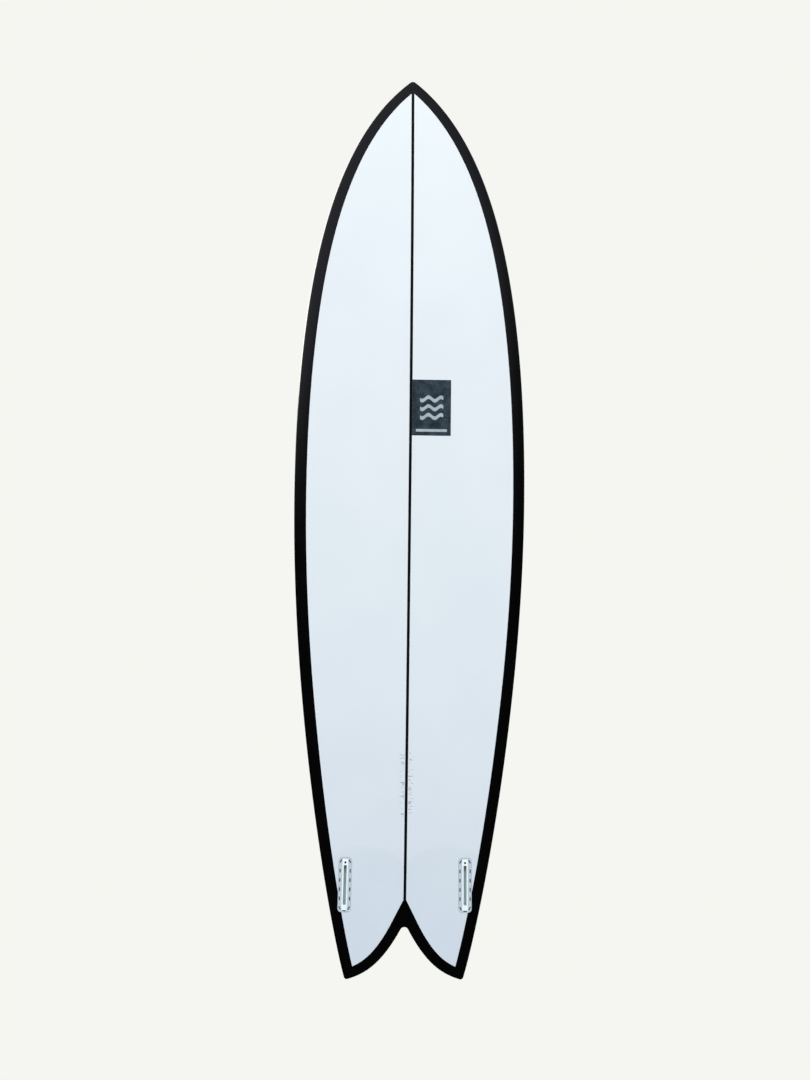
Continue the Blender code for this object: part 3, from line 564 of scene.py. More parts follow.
def add_wall(mesh, first, second):
    for i in range(len(first) - 1):
        mesh.faces.new((first[i], first[i + 1], second[i + 1], second[i]))


def finish_mesh(mesh, name):
    bmesh.ops.remove_doubles(mesh, verts=mesh.verts, dist=MERGE_DISTANCE)
    bmesh.ops.dissolve_degenerate(mesh, edges=mesh.edges, dist=MERGE_DISTANCE)
    bmesh.ops.recalc_face_normals(mesh, faces=mesh.faces)
    data = bpy.data.meshes.new(name)
    mesh.to_mesh(data)
    mesh.free()
    return data


def sheet_mesh(name, outside, inside, open_ends=False):
    mesh = bmesh.new()
    top = add_grid(mesh, outside)
    bottom = add_grid(mesh, inside)
    add_wall(mesh, [row[0] for row in top], [row[0] for row in bottom])
    add_wall(mesh, [row[-1] for row in top], [row[-1] for row in bottom])
    if not open_ends:
        add_wall(mesh, top[0], bottom[0])
        add_wall(mesh, top[-1], bottom[-1])
    return finish_mesh(mesh, name)


def mirrored(data, name):
    copy = data.copy()
    copy.name = name
    copy.transform(Matrix.Scale(-1.0, 4, (1.0, 0.0, 0.0)))
    copy.flip_normals()
    return copy


def new_object(name, data, matrix=None):
    obj = bpy.data.objects.new(name, data)
    bpy.context.scene.collection.objects.link(obj)
    if matrix is not None:
        obj.matrix_world = matrix
    return obj


def lofted_slab(name, length, width, corner, levels, corner_steps=8):
    """A block with rounded corners, length along Z, width along X. Levels are (grow, y) pairs."""
    mesh = bmesh.new()
    rings = []
    for grow, y in levels:
        ring = []
        for quarter, (side, end) in enumerate(((1, 1), (-1, 1), (-1, -1), (1, -1))):
            centre_x = side * (width / 2 - corner)
            centre_z = end * (length / 2 - corner)
            for step in range(corner_steps + 1):
                angle = 0.5 * math.pi * (quarter + step / corner_steps)
                reach = corner + grow
                x = centre_x + reach * math.cos(angle)
                z = centre_z + reach * math.sin(angle)
                ring.append(mesh.verts.new((x, y, z)))
        rings.append(ring)
    for first, second in zip(rings, rings[1:]):
        add_wall(mesh, first + first[:1], second + second[:1])
    mesh.faces.new(rings[0])
    mesh.faces.new(rings[-1])
    return finish_mesh(mesh, name)


def turned(name, profile, segments):
    """A profile of (radius, height) points, from the axis back to the axis, turned about Z."""
    mesh = bmesh.new()
    rings = []
    for radius, height in profile:
        if radius == 0.0:
            rings.append([mesh.verts.new((0.0, 0.0, height))])
            continue
        turn = [2 * math.pi * i / segments for i in range(segments)]
        rings.append(
            [mesh.verts.new((radius * math.cos(a), radius * math.sin(a), height)) for a in turn]
        )
    for first, second in zip(rings, rings[1:]):
        for i in range(segments):
            j = (i + 1) % segments
            if len(first) == 1:
                mesh.faces.new((first[0], second[i], second[j]))
            elif len(second) == 1:
                mesh.faces.new((first[i], second[0], first[j]))
            else:
                mesh.faces.new((first[i], second[i], second[j], first[j]))
    return finish_mesh(mesh, name)


def cylinder(name, radius, first, last, segments):
    return turned(name, [(0.0, first), (radius, first), (radius, last), (0.0, last)], segments)


def carve(obj, cutters, operation="DIFFERENCE"):
    """Cuts the shapes from the object, or joins them to it, and keeps the result as its mesh."""
    for cutter in cutters:
        modifier = obj.modifiers.new(cutter.name, "BOOLEAN")
        modifier.operation = operation
        modifier.object = cutter
        modifier.solver = "EXACT"
    bpy.context.view_layer.update()
    graph = bpy.context.evaluated_depsgraph_get()
    made = bpy.data.meshes.new_from_object(obj.evaluated_get(graph))
    obj.modifiers.clear()
    old, obj.data = obj.data, made
    bpy.data.meshes.remove(old)
    made.name = obj.name


def discard(objects):
    for obj in objects:
        bpy.data.objects.remove(obj, do_unlink=True)


# ---- node materials --------------------------------------
def add(tree, kind, inputs=None, **settings):
    """A new node. An input's value is a plain value, or the socket to link to it."""
    node = tree.nodes.new("ShaderNode" + kind)
    for key, value in settings.items():
        setattr(node, key, value)
    for key, value in (inputs or {}).items():
        if isinstance(value, bpy.types.NodeSocket):
            tree.links.new(value, node.inputs[key])
        else:
            node.inputs[key].default_value = value
    return node


def maths(tree, operation, *values):
    return add(tree, "Math", dict(enumerate(values)), operation=operation).outputs[0]


def product(tree, *values):
    return maths(tree, "MULTIPLY", *values)


def ramp_between(tree, value, low, high):
    """0 below low and 1 above high, eased between. Low may be the larger of the two."""
    inputs = {"Value": value, "From Min": low, "From Max": high}
    return add(tree, "MapRange", inputs, interpolation_type="SMOOTHSTEP").outputs["Result"]


def blend_colour(tree, factor, first, second):
    node = add(tree, "Mix", {0: factor}, data_type="RGBA")
    for index, value in ((6, first), (7, second)):
        if isinstance(value, bpy.types.NodeSocket):
            tree.links.new(value, node.inputs[index])
        else:
            node.inputs[index].default_value = (*value, 1.0)
    return node.outputs[2]


def between(tree, value, edges):
    """1 in the middle of four rising edges, and eased to 0 past them on either side."""
    starts, full, fades, ends = edges
    rising = ramp_between(tree, value, starts, full)
    return product(tree, rising, ramp_between(tree, value, ends, fades))


def rectangle(tree, across, along, across_edges, along_edges):
    """1 inside a rectangle, eased to 0 between the two edges given each way."""
    inside = ramp_between(tree, across, *across_edges)
    return product(tree, inside, ramp_between(tree, along, *along_edges))


def varied(tree, value, base, spread):
    """Base where the value is 0, and base plus spread where it is 1."""
    return maths(tree, "MULTIPLY_ADD", value, spread, base)


def noise(tree, vector, scale, detail=3.0, roughness=0.5):
    inputs = {"Vector": vector, "Scale": scale, "Detail": detail, "Roughness": roughness}
    return add(tree, "TexNoise", inputs).outputs["Fac"]


def stretch(tree, place, scale):
    return add(tree, "Mapping", {"Vector": place, "Scale": scale}).outputs[0]


def start_material(name):
    """A material, its tree, its Principled shader, its object coordinates and their X, Y and Z."""
    made = bpy.data.materials.new(name)
    made.use_nodes = True
    tree = made.node_tree
    shader = tree.nodes["Principled BSDF"]
    place = add(tree, "TexCoord").outputs["Object"]
    axes = add(tree, "SeparateXYZ", {0: place}).outputs
    return made, tree, shader, place, axes


def set_shader(tree, shader, **values):
    for key, value in values.items():
        socket = shader.inputs[key.replace("_", " ")]
        if isinstance(value, bpy.types.NodeSocket):
            tree.links.new(value, socket)
        else:
            socket.default_value = value


def weave(tree, first, second, pitch):
    """Height of a plain weave whose threads run along two of the axes."""
    turn = 2 * math.pi / pitch
    waves = [maths(tree, "SINE", product(tree, axis, turn)) for axis in (first, second)]
    return product(tree, *waves)


def bump(tree, shader, height, strength, distance, under=None):
    inputs = {"Height": height, "Strength": strength, "Distance": distance}
    if under is not None:
        inputs["Normal"] = under
    normal = add(tree, "Bump", inputs).outputs["Normal"]
    tree.links.new(normal, shader.inputs["Normal"])
    return normal


def patch_mask(tree, axes):
    """1 inside the tail's reinforcing patches, seen through the skin."""
    across = maths(tree, "SUBTRACT", maths(tree, "ABSOLUTE", axes[0]), PATCH_CENTRE[0])
    along = maths(tree, "SUBTRACT", axes[2], PATCH_CENTRE[1])
    squares = [product(tree, value, value) for value in (across, along)]
    reach = maths(tree, "SQRT", maths(tree, "ADD", *squares))
    return ramp_between(tree, reach, PATCH_RADIUS + PATCH_EDGE, PATCH_RADIUS - PATCH_EDGE)


def pencil_mask(tree, place, axes):
    """Faint pencil ticks on the foam, on both sides of the stringer. They say nothing."""
    in_run = between(tree, axes[2], PENCIL_RUN)
    in_column = between(tree, maths(tree, "ABSOLUTE", axes[0]), PENCIL_COLUMN)
    stretched = stretch(tree, place, PENCIL_STRETCH)
    strokes = ramp_between(tree, noise(tree, stretched, 1.0, detail=1.0), 0.56, 0.68)
    return product(tree, strokes, product(tree, in_run, in_column))


def white_laminate(name, bottom):
    made, tree, shader, place, axes = start_material(name)
    cloudy = ramp_between(tree, noise(tree, place, 5.0, detail=4.0), 0.35, 0.65)
    colour = blend_colour(tree, cloudy, WHITE_DIM, WHITE)
    if bottom:
        mottled = varied(tree, noise(tree, place, 24.0), base=0.75, spread=0.5)
        patch = product(tree, patch_mask(tree, axes), mottled)
        patch = product(tree, patch, PATCH_SHOWS)
        colour = blend_colour(tree, patch, colour, PATCH_TONE)
        pencil = product(tree, pencil_mask(tree, place, axes), PENCIL_SHOWS)
        colour = blend_colour(tree, pencil, colour, PENCIL_TONE)
    side = maths(tree, "ABSOLUTE", axes[0])
    colour = blend_colour(tree, ramp_between(tree, side, *GLUE_EDGE), colour, GLUE_TONE)
    threads = weave(tree, axes[0], axes[2], CLOTH_PITCH)
    smooth = varied(tree, noise(tree, place, 14.0), base=0.23, spread=0.04)
    set_shader(
        tree,
        shader,
        Base_Color=colour,
        Roughness=smooth,
        IOR=1.50,
        Coat_Weight=0.6,
        Coat_Roughness=0.08,
    )
    fine = bump(tree, shader, threads, strength=0.05, distance=0.0001)
    waviness = noise(tree, place, 9.0, detail=2.0)
    bump(tree, shader, waviness, strength=0.06, distance=0.0006, under=fine)
    return made


def black_laminate(name):
    made, tree, shader, place, axes = start_material(name)
    streaks = stretch(tree, place, (26.0, 26.0, 5.0))
    streaky = ramp_between(tree, noise(tree, streaks, 1.0, detail=5.0, roughness=0.6), 0.35, 0.75)
    smooth = varied(tree, noise(tree, place, 18.0), base=0.14, spread=0.14)
    set_shader(
        tree,
        shader,
        Base_Color=blend_colour(tree, streaky, *BLACK),
        Roughness=smooth,
        IOR=1.50,
        Coat_Weight=0.5,
        Coat_Roughness=0.10,
    )
    threads = weave(tree, axes[0], axes[2], CLOTH_PITCH)
    fine = bump(tree, shader, threads, strength=0.04, distance=0.0001)
    waviness = noise(tree, place, 12.0, detail=2.0)
    bump(tree, shader, waviness, strength=0.08, distance=0.0006, under=fine)
    return made


def foam(name):
    made, tree, shader, place, _ = start_material(name)
    cells = add(tree, "TexVoronoi", {"Vector": place, "Scale": 900.0}).outputs["Distance"]
    colour = blend_colour(tree, noise(tree, place, 12.0), *FOAM)
    set_shader(tree, shader, Base_Color=colour, Roughness=0.92)
    bump(tree, shader, cells, strength=0.3, distance=0.0004)
    return made


def stained_wood(name):
    made, tree, shader, place, _ = start_material(name)
    along = stretch(tree, place, (700.0, 160.0, 6.0))
    grain = noise(tree, along, 1.0, detail=4.0, roughness=0.6)
    set_shader(
        tree,
        shader,
        Base_Color=blend_colour(tree, grain, *WOOD),
        Roughness=0.50,
        IOR=1.30,
        Coat_Weight=0.1,
        Coat_Roughness=0.20,
    )
    bump(tree, shader, grain, strength=0.12, distance=0.0002)
    return made


def slate_label(name):
    """Dark printed paper with plain waves and a plain bar below them."""
    made, tree, shader, place, axes = start_material(name)
    cloudy = noise(tree, place, 45.0, detail=6.0, roughness=0.75)
    colour = blend_colour(tree, ramp_between(tree, cloudy, 0.36, 0.66), *SLATE)
    specks = ramp_between(tree, noise(tree, place, 420.0, detail=2.0), 0.62, 0.72)
    colour = blend_colour(tree, product(tree, specks, 0.5), colour, SLATE_SPECKS)
    across = maths(tree, "SUBTRACT", axes[0], LABEL_CENTRE)
    up = maths(tree, "SUBTRACT", axes[2], LABEL_Z)
    side = maths(tree, "ABSOLUTE", across)
    swing = maths(tree, "SINE", product(tree, across, 2 * math.pi / WAVE_LENGTH))
    height = maths(tree, "MULTIPLY_ADD", swing, WAVE_SWING, up)
    rows = maths(tree, "MULTIPLY_ADD", height, 1.0 / WAVE_PITCH, 0.5)
    row = maths(tree, "SUBTRACT", maths(tree, "FRACT", rows), 0.5)
    line = ramp_between(tree, maths(tree, "ABSOLUTE", row), *WAVE_LINE)
    reach = maths(tree, "ABSOLUTE", height)
    field = rectangle(tree, side, reach, WAVES_HALF_WIDTH, WAVES_HALF_HEIGHT)
    below = maths(tree, "ABSOLUTE", maths(tree, "ADD", up, BAR_BELOW_CENTRE))
    bar = rectangle(tree, side, below, BAR_HALF_WIDTH, BAR_HALF_HEIGHT)
    motif = maths(tree, "MAXIMUM", product(tree, line, field), bar)
    worn = varied(tree, noise(tree, place, 60.0, detail=4.0), base=0.55, spread=0.7)
    colour = blend_colour(tree, product(tree, motif, worn), colour, PRINT_TONE)
    set_shader(
        tree,
        shader,
        Base_Color=colour,
        Roughness=0.30,
        Coat_Weight=0.5,
        Coat_Roughness=0.08,
    )
    grit = noise(tree, place, 300.0, detail=2.0)
    bump(tree, shader, grit, strength=0.05, distance=0.0001)
    return made


def box_plastic(name):
    """White plastic, with a greyer flange, key holes darkened with depth for their resin fill and
    for painted shade, and painted shade inside the slot and down the screw bore.
    """
    made, tree, shader, place, axes = start_material(name)
    side = maths(tree, "ABSOLUTE", axes[0])
    end = maths(tree, "ABSOLUTE", axes[2])
    past_side = maths(tree, "SUBTRACT", side, FLANGE_WIDTH / 2 - FLANGE_CORNER)
    past_end = maths(tree, "SUBTRACT", end, FLANGE_LENGTH / 2 - FLANGE_CORNER)
    past = [maths(tree, "MAXIMUM", value, 0.0) for value in (past_side, past_end)]
    squares = [maths(tree, "POWER", value, 2.0) for value in past]
    from_corner = maths(tree, "SQRT", maths(tree, "ADD", *squares))
    rim_line = ramp_between(tree, from_corner, *(FLANGE_CORNER - edge for edge in RIM_LINE))
    in_rib = rectangle(
        tree,
        side,
        end,
        [BODY_WIDTH / 2 + margin for margin in RIB_MARGIN],
        [BODY_LENGTH / 2 + margin for margin in RIB_MARGIN],
    )
    cloudy = noise(tree, place, 160.0, detail=4.0)
    flange = blend_colour(tree, cloudy, FLANGE_DARK, FLANGE_PALE)
    flange = blend_colour(tree, product(tree, rim_line, RIM_SHOWS), flange, RIM_TONE)
    rib = blend_colour(tree, noise(tree, place, 60.0), *RIB)
    colour = blend_colour(tree, in_rib, flange, rib)
    # painted shade: the slot's inside darkens with depth, more towards its front and most down the
    # screw bore
    slot_shade_mask = ramp_between(tree, axes[1], *SLOT_SHADE_DEPTHS)
    inside = blend_colour(tree, ramp_between(tree, axes[2], *SLOT_SHADE), SLOT_SHADE_REAR, SLOT_SHADE_FRONT)
    inside = blend_colour(tree, ramp_between(tree, axes[2], *BORE_STARTS), inside, BORE_SHADE)
    colour = blend_colour(tree, product(tree, slot_shade_mask, in_rib), colour, inside)
    # the key holes outside the rib darken with depth: their resin fill, and painted shade
    hole_resin_and_shade_mask = ramp_between(tree, axes[1], *HOLE_RESIN_AND_SHADE_DEPTHS)
    outside = maths(tree, "SUBTRACT", 1.0, in_rib)
    colour = blend_colour(tree, product(tree, hole_resin_and_shade_mask, outside), colour, HOLE_RESIN_AND_SHADE)
    set_shader(
        tree,
        shader,
        Base_Color=colour,
        Roughness=varied(tree, cloudy, base=0.28, spread=0.2),
        Coat_Weight=0.2,
        Coat_Roughness=0.15,
    )
    grit = noise(tree, place, 900.0, detail=2.0)
    bump(tree, shader, grit, strength=0.10, distance=0.0001)
    return made


def cup_plastic(name):
    made, tree, shader, place, _ = start_material(name)
    cloudy = noise(tree, place, 120.0, detail=4.0)
    set_shader(
        tree,
        shader,
        Base_Color=blend_colour(tree, cloudy, *CUP),
        Roughness=varied(tree, cloudy, base=0.26, spread=0.2),
        Coat_Weight=0.2,
        Coat_Roughness=0.15,
    )
    grit = noise(tree, place, 1200.0, detail=2.0)
    bump(tree, shader, grit, strength=0.10, distance=0.0001)
    return made


def steel(name, dark, pale):
    made, tree, shader, place, _ = start_material(name)
    drawn = stretch(tree, place, (900.0, 900.0, 4000.0))
    lines = noise(tree, drawn, 1.0, detail=3.0)
    set_shader(
        tree,
        shader,
        Base_Color=blend_colour(tree, lines, dark, pale),
        Metallic=1.0,
        Roughness=varied(tree, lines, base=0.22, spread=0.2),
    )
    bump(tree, shader, lines, strength=0.10, distance=0.00005)
    return made


def glass_cloth(name):
    made, tree, shader, _, axes = start_material(name)
    threads = weave(tree, axes[0], axes[2], PATCH_CLOTH_PITCH)
    colour = blend_colour(tree, varied(tree, threads, base=0.5, spread=0.5), *CLOTH)
    set_shader(tree, shader, Base_Color=colour, Roughness=0.5, Sheen_Weight=0.1)
    bump(tree, shader, threads, strength=0.4, distance=0.0003)
    return made


# ---- the fine pieces -------------------------------------
def settle(obj, surface, body, nodes):
    """Gives a piece its material and its shading, and puts it in its CAD nodes' place."""
    obj.data.materials.clear()
    obj.data.materials.append(surface)
    obj.data.shade_smooth()
    obj.data.set_sharp_from_angle(angle=SMOOTH_ANGLE)
    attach(obj, body)
    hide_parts(*nodes)


def box_matrix(side):
    """The fin box's place: Z along it towards the nose, Y into the board."""
    slope = (rocker(BOX_Z + SLOPE_STEP) - rocker(BOX_Z - SLOPE_STEP)) / (2 * SLOPE_STEP)
    turn = Euler((-math.atan(slope), -side * BOX_TOE, 0.0), "ZYX")
    place = (side * BOX_X, float(rocker(BOX_Z)) + BOX_SINK, BOX_Z)
    return Matrix.LocRotScale(place, turn, None)


def plug_matrix():
    """The leash plug's place, with Z out of the deck."""
    levels = np.array([[PLUG_X, PLUG_Z + step] for step in (-SLOPE_STEP, SLOPE_STEP, 0.0)])
    heights = deck_point(levels, 0.0)[:, 1]
    slope = (heights[1] - heights[0]) / (2 * SLOPE_STEP)
    turn = Matrix.Rotation(-0.5 * math.pi - math.atan(slope), 4, "X")
    return Matrix.Translation((PLUG_X, float(heights[2]), PLUG_Z)) @ turn


def flange_pocket(side):
    levels = [(SEAM, -CUTTER_RUN), (SEAM, CUTTER_RUN)]
    size = (FLANGE_LENGTH, FLANGE_WIDTH, FLANGE_CORNER)
    data = lofted_slab("pocket", *size, levels, FLANGE_CORNER_STEPS)
    return new_object("pocket", data, box_matrix(side))


def make_skins(looks):
    side_cut = STRINGER_THICKNESS / 2 + SEAM
    reach = PLUG_DIAMETER / 2 + SEAM
    plug_hole = cylinder("plug_hole", reach, CUTTER_RUN, -CUTTER_RUN, LARGE_TURN)
    size = (LABEL_HEIGHT, LABEL_WIDTH, WINDOW_CORNER)
    window = lofted_slab("window", *size, WINDOW_LEVELS, WINDOW_CORNER_STEPS)
    middle = (LABEL_CENTRE, 0.0, LABEL_Z)
    faces = (("bottom", 0.0, bottom_point), ("deck", BAND_DECK_EXTRA, deck_point))
    for face, extra, point in faces:
        outside = panel_grid(point, 0.0, extra + SEAM, side_cut)
        inside = panel_grid(point, SKIN, extra + SEAM, side_cut)
        right = sheet_mesh("skin", outside, inside)
        for side, end in ((-1, "left"), (1, "right")):
            data = right.copy() if side > 0 else mirrored(right, "skin")
            obj = new_object(f"laminate_{face}_{end}", data)
            cutters = []
            if face == "bottom":
                cutters.append(flange_pocket(side))
            if face == "bottom" and side > 0:
                cutters.append(new_object("window", window, Matrix.Translation(middle)))
            if face == "deck" and side > 0:
                cutters.append(new_object("plug_hole", plug_hole, plug_matrix()))
            if cutters:
                carve(obj, cutters)
                discard(cutters)
            settle(obj, looks[face], "board", [f"{face}_skin_{end}"])


def make_lap(looks):
    mesh = bmesh.new()
    right = sheet_mesh("lap_half", rail_strip(0.0), rail_strip(SKIN), open_ends=True)
    mesh.from_mesh(right)
    mesh.from_mesh(mirrored(right, "lap_left"))
    obj = new_object("rail_laminate", finish_mesh(mesh, "rail_laminate"))
    cutters = [flange_pocket(-1), flange_pocket(1)]
    carve(obj, cutters)
    discard(cutters)
    settle(obj, looks["black"], "board", ["rail_lap"])


def stringer_edge(extra, point):
    outer, inner = lens_rows(extra, STRINGER_THICKNESS / 2)
    nose_end, fork = outer[0, 1], inner[ROWS_MAIN, 1]
    crotch = ROUNDED[-1][-1, 1] + STRINGER_COVER
    tip = LENGTH - STRINGER_TIP
    turn = np.linspace(0.0, 0.5 * math.pi, STEPS_STRINGER_END + 1)
    reach = 1.0 - np.cos(turn)
    points = []
    for share, angle in zip(reach, turn):
        z = crotch + (fork + SEAM - crotch) * share
        points.append((0.0, point(np.array([0.0, z]), STRINGER_COVER, math.sin(angle))[1], z))
    for z in np.linspace(fork + SEAM, nose_end - SEAM, ROWS_MAIN + 1):
        points.append((0.0, point(np.array([0.0, z]), 0.0)[1], z))
    for share, angle in zip(reach[::-1], turn[::-1]):
        z = tip - (tip - nose_end + SEAM) * share
        points.append((0.0, point(np.array([0.0, z]), STRINGER_COVER, math.sin(angle))[1], z))
    return np.array(points)


def make_stringer(looks):
    edges = [stringer_edge(0.0, bottom_point), stringer_edge(BAND_DECK_EXTRA, deck_point)]
    rows = np.stack(edges, axis=1)
    half = np.array([STRINGER_THICKNESS / 2, 0.0, 0.0])
    data = sheet_mesh("stringer_fine", rows + half, rows - half)
    obj = new_object("stringer_fine", data)
    settle(obj, looks["wood"], "board", ["stringer"])


def make_label(looks):
    across = np.linspace(LABEL_LEFT, LABEL_LEFT + LABEL_WIDTH, LABEL_COLUMNS + 1)
    half = LABEL_HEIGHT / 2
    levels = np.linspace(LABEL_Z - half, LABEL_Z + half, LABEL_ROWS + 1)
    plan = np.stack(np.meshgrid(across, levels), axis=-1)
    data = sheet_mesh("label", bottom_point(plan, 0.0), bottom_point(plan, LABEL_THICKNESS))
    obj = new_object("label_panel", data)
    settle(obj, looks["label"], "board", ["bottom_label"])


def key_holes():
    side_x = FLANGE_WIDTH / 2 - KEY_HOLE_INSET
    end_z = FLANGE_LENGTH / 2 - KEY_HOLE_INSET
    corner_x = side_x - KEY_HOLE_CORNER_SHIFT[0]
    corner_z = end_z - KEY_HOLE_CORNER_SHIFT[1]
    holes = [(0.0, -end_z, 90.0)]
    for side in (-1, 1):
        for step in (-1.5, -0.5, 0.5, 1.5):
            holes.append((side * side_x, step * KEY_HOLE_PITCH, 0.0))
        for end in (-1, 1):
            holes.append((side * corner_x, end * corner_z, -side * end * KEY_HOLE_CORNER_TURN))
    return holes


def screw_matrix(place):
    turn = Matrix.Rotation(0.5 * math.pi - SCREW_TILT, 4, "X")
    return place @ Matrix.Translation((0.0, 0.0, SCREW_Z)) @ turn


def make_fin_box(side, end, looks):
    place = box_matrix(side)
    flange_levels = [(-FLANGE_EDGE, 0.0), (0.0, FLANGE_EDGE)]
    flange_levels += [(0.0, FLANGE_THICKNESS - FLANGE_EDGE), (-FLANGE_EDGE, FLANGE_THICKNESS)]
    size = (FLANGE_LENGTH, FLANGE_WIDTH, FLANGE_CORNER)
    flange = lofted_slab("flange", *size, flange_levels, FLANGE_CORNER_STEPS)
    rib_levels = RIB_TOP + [(0.0, BODY_DEPTH - RIB_FOOT), (-RIB_FOOT, BODY_DEPTH)]
    size = (BODY_LENGTH, BODY_WIDTH, BODY_CORNER)
    rib = lofted_slab("rib", *size, rib_levels, RIB_CORNER_STEPS)
    obj = new_object(f"box_{end}", flange, place)
    joined = new_object("rib", rib, place)
    carve(obj, [joined], "UNION")

    slot_levels = [(SLOT_LIP[0][0], -CUTTER_RUN), *SLOT_LIP]
    slot_levels += [(0.0, SLOT_DEPTH - SLOT_FLOOR_EDGE), (-SLOT_FLOOR_EDGE, SLOT_DEPTH)]
    slot = lofted_slab("slot", SLOT_LENGTH, SLOT_WIDTH, SLOT_CORNER, slot_levels)
    cutters = [new_object("slot", slot, place @ Matrix.Translation((0.0, 0.0, SLOT_SHIFT)))]
    bore = cylinder("bore", SCREW_BORE / 2, CUTTER_RUN, -SCREW_BORE_DEPTH, SMALL_TURN)
    cutters.append(new_object("bore", bore, screw_matrix(place)))
    hole_levels = [(KEY_HOLE_LIP, -CUTTER_RUN), (KEY_HOLE_LIP, 0.0)]
    hole_levels += [(0.0, KEY_HOLE_LIP), (0.0, KEY_HOLE_DEPTH)]
    size = (KEY_HOLE_LENGTH, KEY_HOLE_WIDTH, KEY_HOLE_WIDTH / 2 - KEY_HOLE_FLAT)
    hole = lofted_slab("hole", *size, hole_levels, HOLE_CORNER_STEPS)
    for x, z, turn in key_holes():
        spot = Matrix.Translation((x, 0.0, z)) @ Matrix.Rotation(math.radians(turn), 4, "Y")
        cutters.append(new_object("hole", hole, place @ spot))
    carve(obj, cutters)
    discard([joined, *cutters])
    settle(obj, looks["box"], "board", [f"fin_box_{end}"])


def make_screw(side, end, looks):
    """A grub screw with its thread as plain rings and a hexagon socket in its head."""
    place = screw_matrix(box_matrix(side))
    top, tail = -SCREW_RECESS, -SCREW_RECESS - SCREW_LENGTH
    outer, root = SCREW_DIAMETER / 2, SCREW_DIAMETER / 2 - THREAD_DEPTH
    low, high = THREAD_ROOT * SCREW_PITCH, THREAD_CREST * SCREW_PITCH
    profile = [(0.0, top), (root, top)]
    for ring in range(int((SCREW_LENGTH - SCREW_PITCH) / SCREW_PITCH)):
        crest = top - SCREW_PITCH * (ring + THREAD_START)
        profile += [(root, crest + low), (outer, crest + high)]
        profile += [(outer, crest - high), (root, crest - low)]
    profile += [(root, tail + SCREW_TAIL_EDGE), (root - SCREW_TAIL_EDGE, tail), (0.0, tail)]
    screw = new_object(f"grub_screw_{end}", turned("screw", profile, SMALL_TURN), place)
    across = SOCKET_WIDTH / math.sqrt(3.0)
    profile = [(0.0, top + SOCKET_RUN), (across, top + SOCKET_RUN)]
    profile += [(across, top - SOCKET_DEPTH), (0.0, top - SOCKET_POINT_DEPTH)]
    socket = new_object("socket", turned("socket", profile, 6), place)
    carve(screw, [socket])
    discard([socket])
    settle(screw, looks["screw"], f"{end}_screw", [f"fin_screw_{end}"])


def rounded_corner(radius, height, size, turn_from, turn_to, steps=6):
    """Points of a quarter round of the given size about (radius, height), in a turned profile."""
    angles = np.radians(np.linspace(turn_from, turn_to, steps + 1))
    return [(radius + size * math.cos(a), height + size * math.sin(a)) for a in angles]


def make_leash_plug(looks):
    place = plug_matrix()
    outer, inner = PLUG_DIAMETER / 2, CUP_DIAMETER / 2
    profile = [(0.0, -PLUG_DEPTH), (outer - PLUG_STEP, -PLUG_DEPTH)]
    profile += [(outer - PLUG_STEP, -PLUG_RIM - PLUG_STEP), (outer, -PLUG_RIM)]
    edge = PLUG_OUTER_EDGE
    profile += rounded_corner(outer - edge, -edge, edge, 0.0, 90.0)
    edge = PLUG_INNER_EDGE
    profile += rounded_corner(inner + edge, -edge, edge, 90.0, 180.0)
    edge = CUP_FLOOR_EDGE
    profile += rounded_corner(inner - edge, edge - CUP_DEPTH, edge, 0.0, -90.0)
    profile += [(0.0, -CUP_DEPTH)]
    cup = new_object("plug_cup", turned("cup", profile, LARGE_TURN), place)
    sideways = place @ Matrix.Translation((0.0, 0.0, -BAR_DEPTH))
    sideways = sideways @ Matrix.Rotation(math.pi / 2, 4, "Y")
    radius, half = BAR_DIAMETER / 2, BAR_LENGTH / 2
    reach = radius + BAR_CLEARANCE
    hole = cylinder("bar_hole", reach, -PLUG_DIAMETER, PLUG_DIAMETER, SMALL_TURN)
    hole = new_object("bar_hole", hole, sideways)
    carve(cup, [hole])
    discard([hole])
    settle(cup, looks["cup"], "board", ["leash_cup"])
    profile = [(0.0, -half), (radius - BAR_EDGE, -half), (radius, -half + BAR_EDGE)]
    profile += [(radius, half - BAR_EDGE), (radius - BAR_EDGE, half), (0.0, half)]
    bar = new_object("plug_bar", turned("bar", profile, SMALL_TURN), sideways)
    settle(bar, looks["steel"], "board", ["leash_bar"])


def repaint(node, surface):
    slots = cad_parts[node].data.materials
    slots.clear()
    slots.append(surface)


# ---- the stage -------------------------------------------
def make_world():
    """One pale colour behind everything, a cool even fill, and a darker room in reflections."""
    world = bpy.data.worlds.new("studio")
    bpy.context.scene.world = world
    world.use_nodes = True
    tree = world.node_tree
    tree.nodes.clear()
    ray = add(tree, "LightPath")
    direction = add(tree, "TexCoord").outputs["Generated"]
    across, _, up = add(tree, "SeparateXYZ", {0: direction}).outputs
    high = ramp_between(tree, up, *ROOM_HORIZON)
    lit_side = varied(tree, across, base=ROOM_GAIN, spread=ROOM_LEFT_GAIN)
    high = product(tree, high, lit_side)
    mirrored_room = blend_colour(tree, high, ROOM_DARK, ROOM_PALE)
    shown = blend_colour(tree, ray.outputs["Is Glossy Ray"], FILL, mirrored_room)
    shown = blend_colour(tree, ray.outputs["Is Camera Ray"], shown, BACKDROP)
    back = add(tree, "Background", {"Color": shown, "Strength": 1.0})
    out = add(tree, "OutputWorld")
    tree.links.new(back.outputs[0], out.inputs["Surface"])


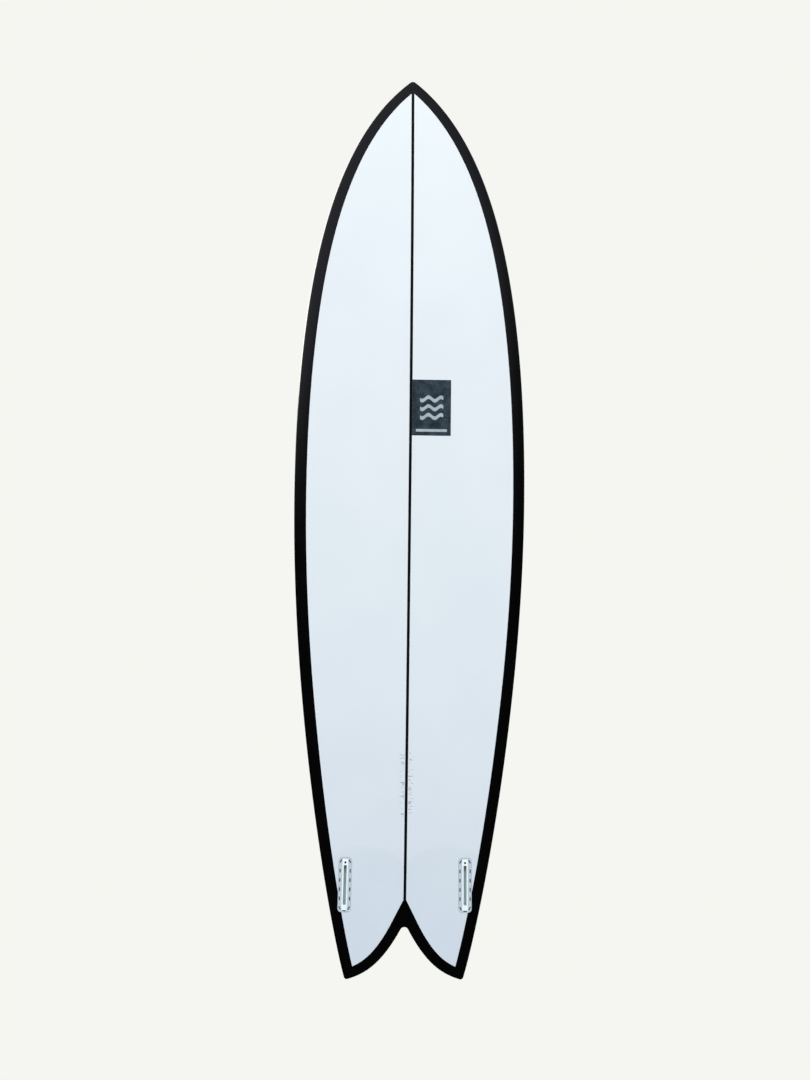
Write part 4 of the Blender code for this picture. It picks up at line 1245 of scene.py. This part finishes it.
def make_floor():
    """A large pale floor that has the backdrop's own colour and takes no shadow."""
    mesh = bmesh.new()
    bmesh.ops.create_grid(mesh, x_segments=1, y_segments=1, size=FLOOR_SIZE)
    data = bpy.data.meshes.new("floor")
    mesh.to_mesh(data)
    mesh.free()
    floor = new_object("floor", data, Matrix.Translation((0.0, 0.0, CAD_LOW.z - FLOOR_GAP)))
    made = bpy.data.materials.new("floor_pale")
    made.use_nodes = True
    tree = made.node_tree
    tree.nodes.clear()
    glow = add(tree, "Emission", {"Color": (*BACKDROP, 1.0), "Strength": 1.0})
    clear = add(tree, "BsdfTransparent")
    seen = add(tree, "LightPath").outputs["Is Camera Ray"]
    mix = add(tree, "MixShader", {0: seen, 1: clear.outputs[0], 2: glow.outputs[0]})
    out = add(tree, "OutputMaterial")
    tree.links.new(mix.outputs[0], out.inputs["Surface"])
    data.materials.append(made)


def area_light(name, location, target, size, power, colour, in_reflections):
    light = bpy.data.lights.new(name, "AREA")
    light.shape = "RECTANGLE"
    light.size, light.size_y = size
    light.energy = power
    light.color = colour
    obj = new_object(name, light)
    obj.location = location
    obj.rotation_mode = "QUATERNION"
    obj.rotation_quaternion = (Vector(target) - Vector(location)).to_track_quat("-Z", "Y")
    obj.visible_glossy = in_reflections
    obj.visible_camera = False


def make_camera():
    """Level, in front of the bottom, and panned and rolled a little."""
    camera = bpy.data.cameras.new("camera")
    camera.sensor_fit = "AUTO"
    camera.sensor_width = CAMERA_SENSOR
    camera.lens = CAMERA_LENS
    camera.clip_end = CAMERA_REACH
    obj = new_object("camera", camera)
    obj.location = CAMERA_PLACE
    obj.rotation_euler = (CAMERA_TILT, CAMERA_ROLL, CAMERA_PAN)
    bpy.context.scene.camera = obj


def main():
    scene = bpy.context.scene
    scene.view_settings.view_transform = "Standard"
    scene.view_settings.look = "None"
    looks = {
        "bottom": white_laminate("bottom_laminate", True),
        "deck": white_laminate("deck_laminate", False),
        "black": black_laminate("rail_laminate"),
        "foam": foam("board_foam"),
        "wood": stained_wood("stringer_stain"),
        "label": slate_label("label_print"),
        "box": box_plastic("fin_box_plastic"),
        "cup": cup_plastic("plug_plastic"),
        "steel": steel("stainless", *STAINLESS),
        "screw": steel("blackened_steel", *BLACKENED),
        "cloth": glass_cloth("patch_cloth"),
    }
    make_skins(looks)
    make_lap(looks)
    make_stringer(looks)
    make_label(looks)
    for side, end in ((-1, "left"), (1, "right")):
        make_fin_box(side, end, looks)
        make_screw(side, end, looks)
        for part in ("tail", "middle", "nose"):
            repaint(f"foam_{part}_{end}", looks["foam"])
        repaint(f"tail_patch_{end}", looks["cloth"])
    make_leash_plug(looks)

    make_world()
    make_floor()
    for light in LIGHTS:
        area_light(*light)
    make_camera()


main()
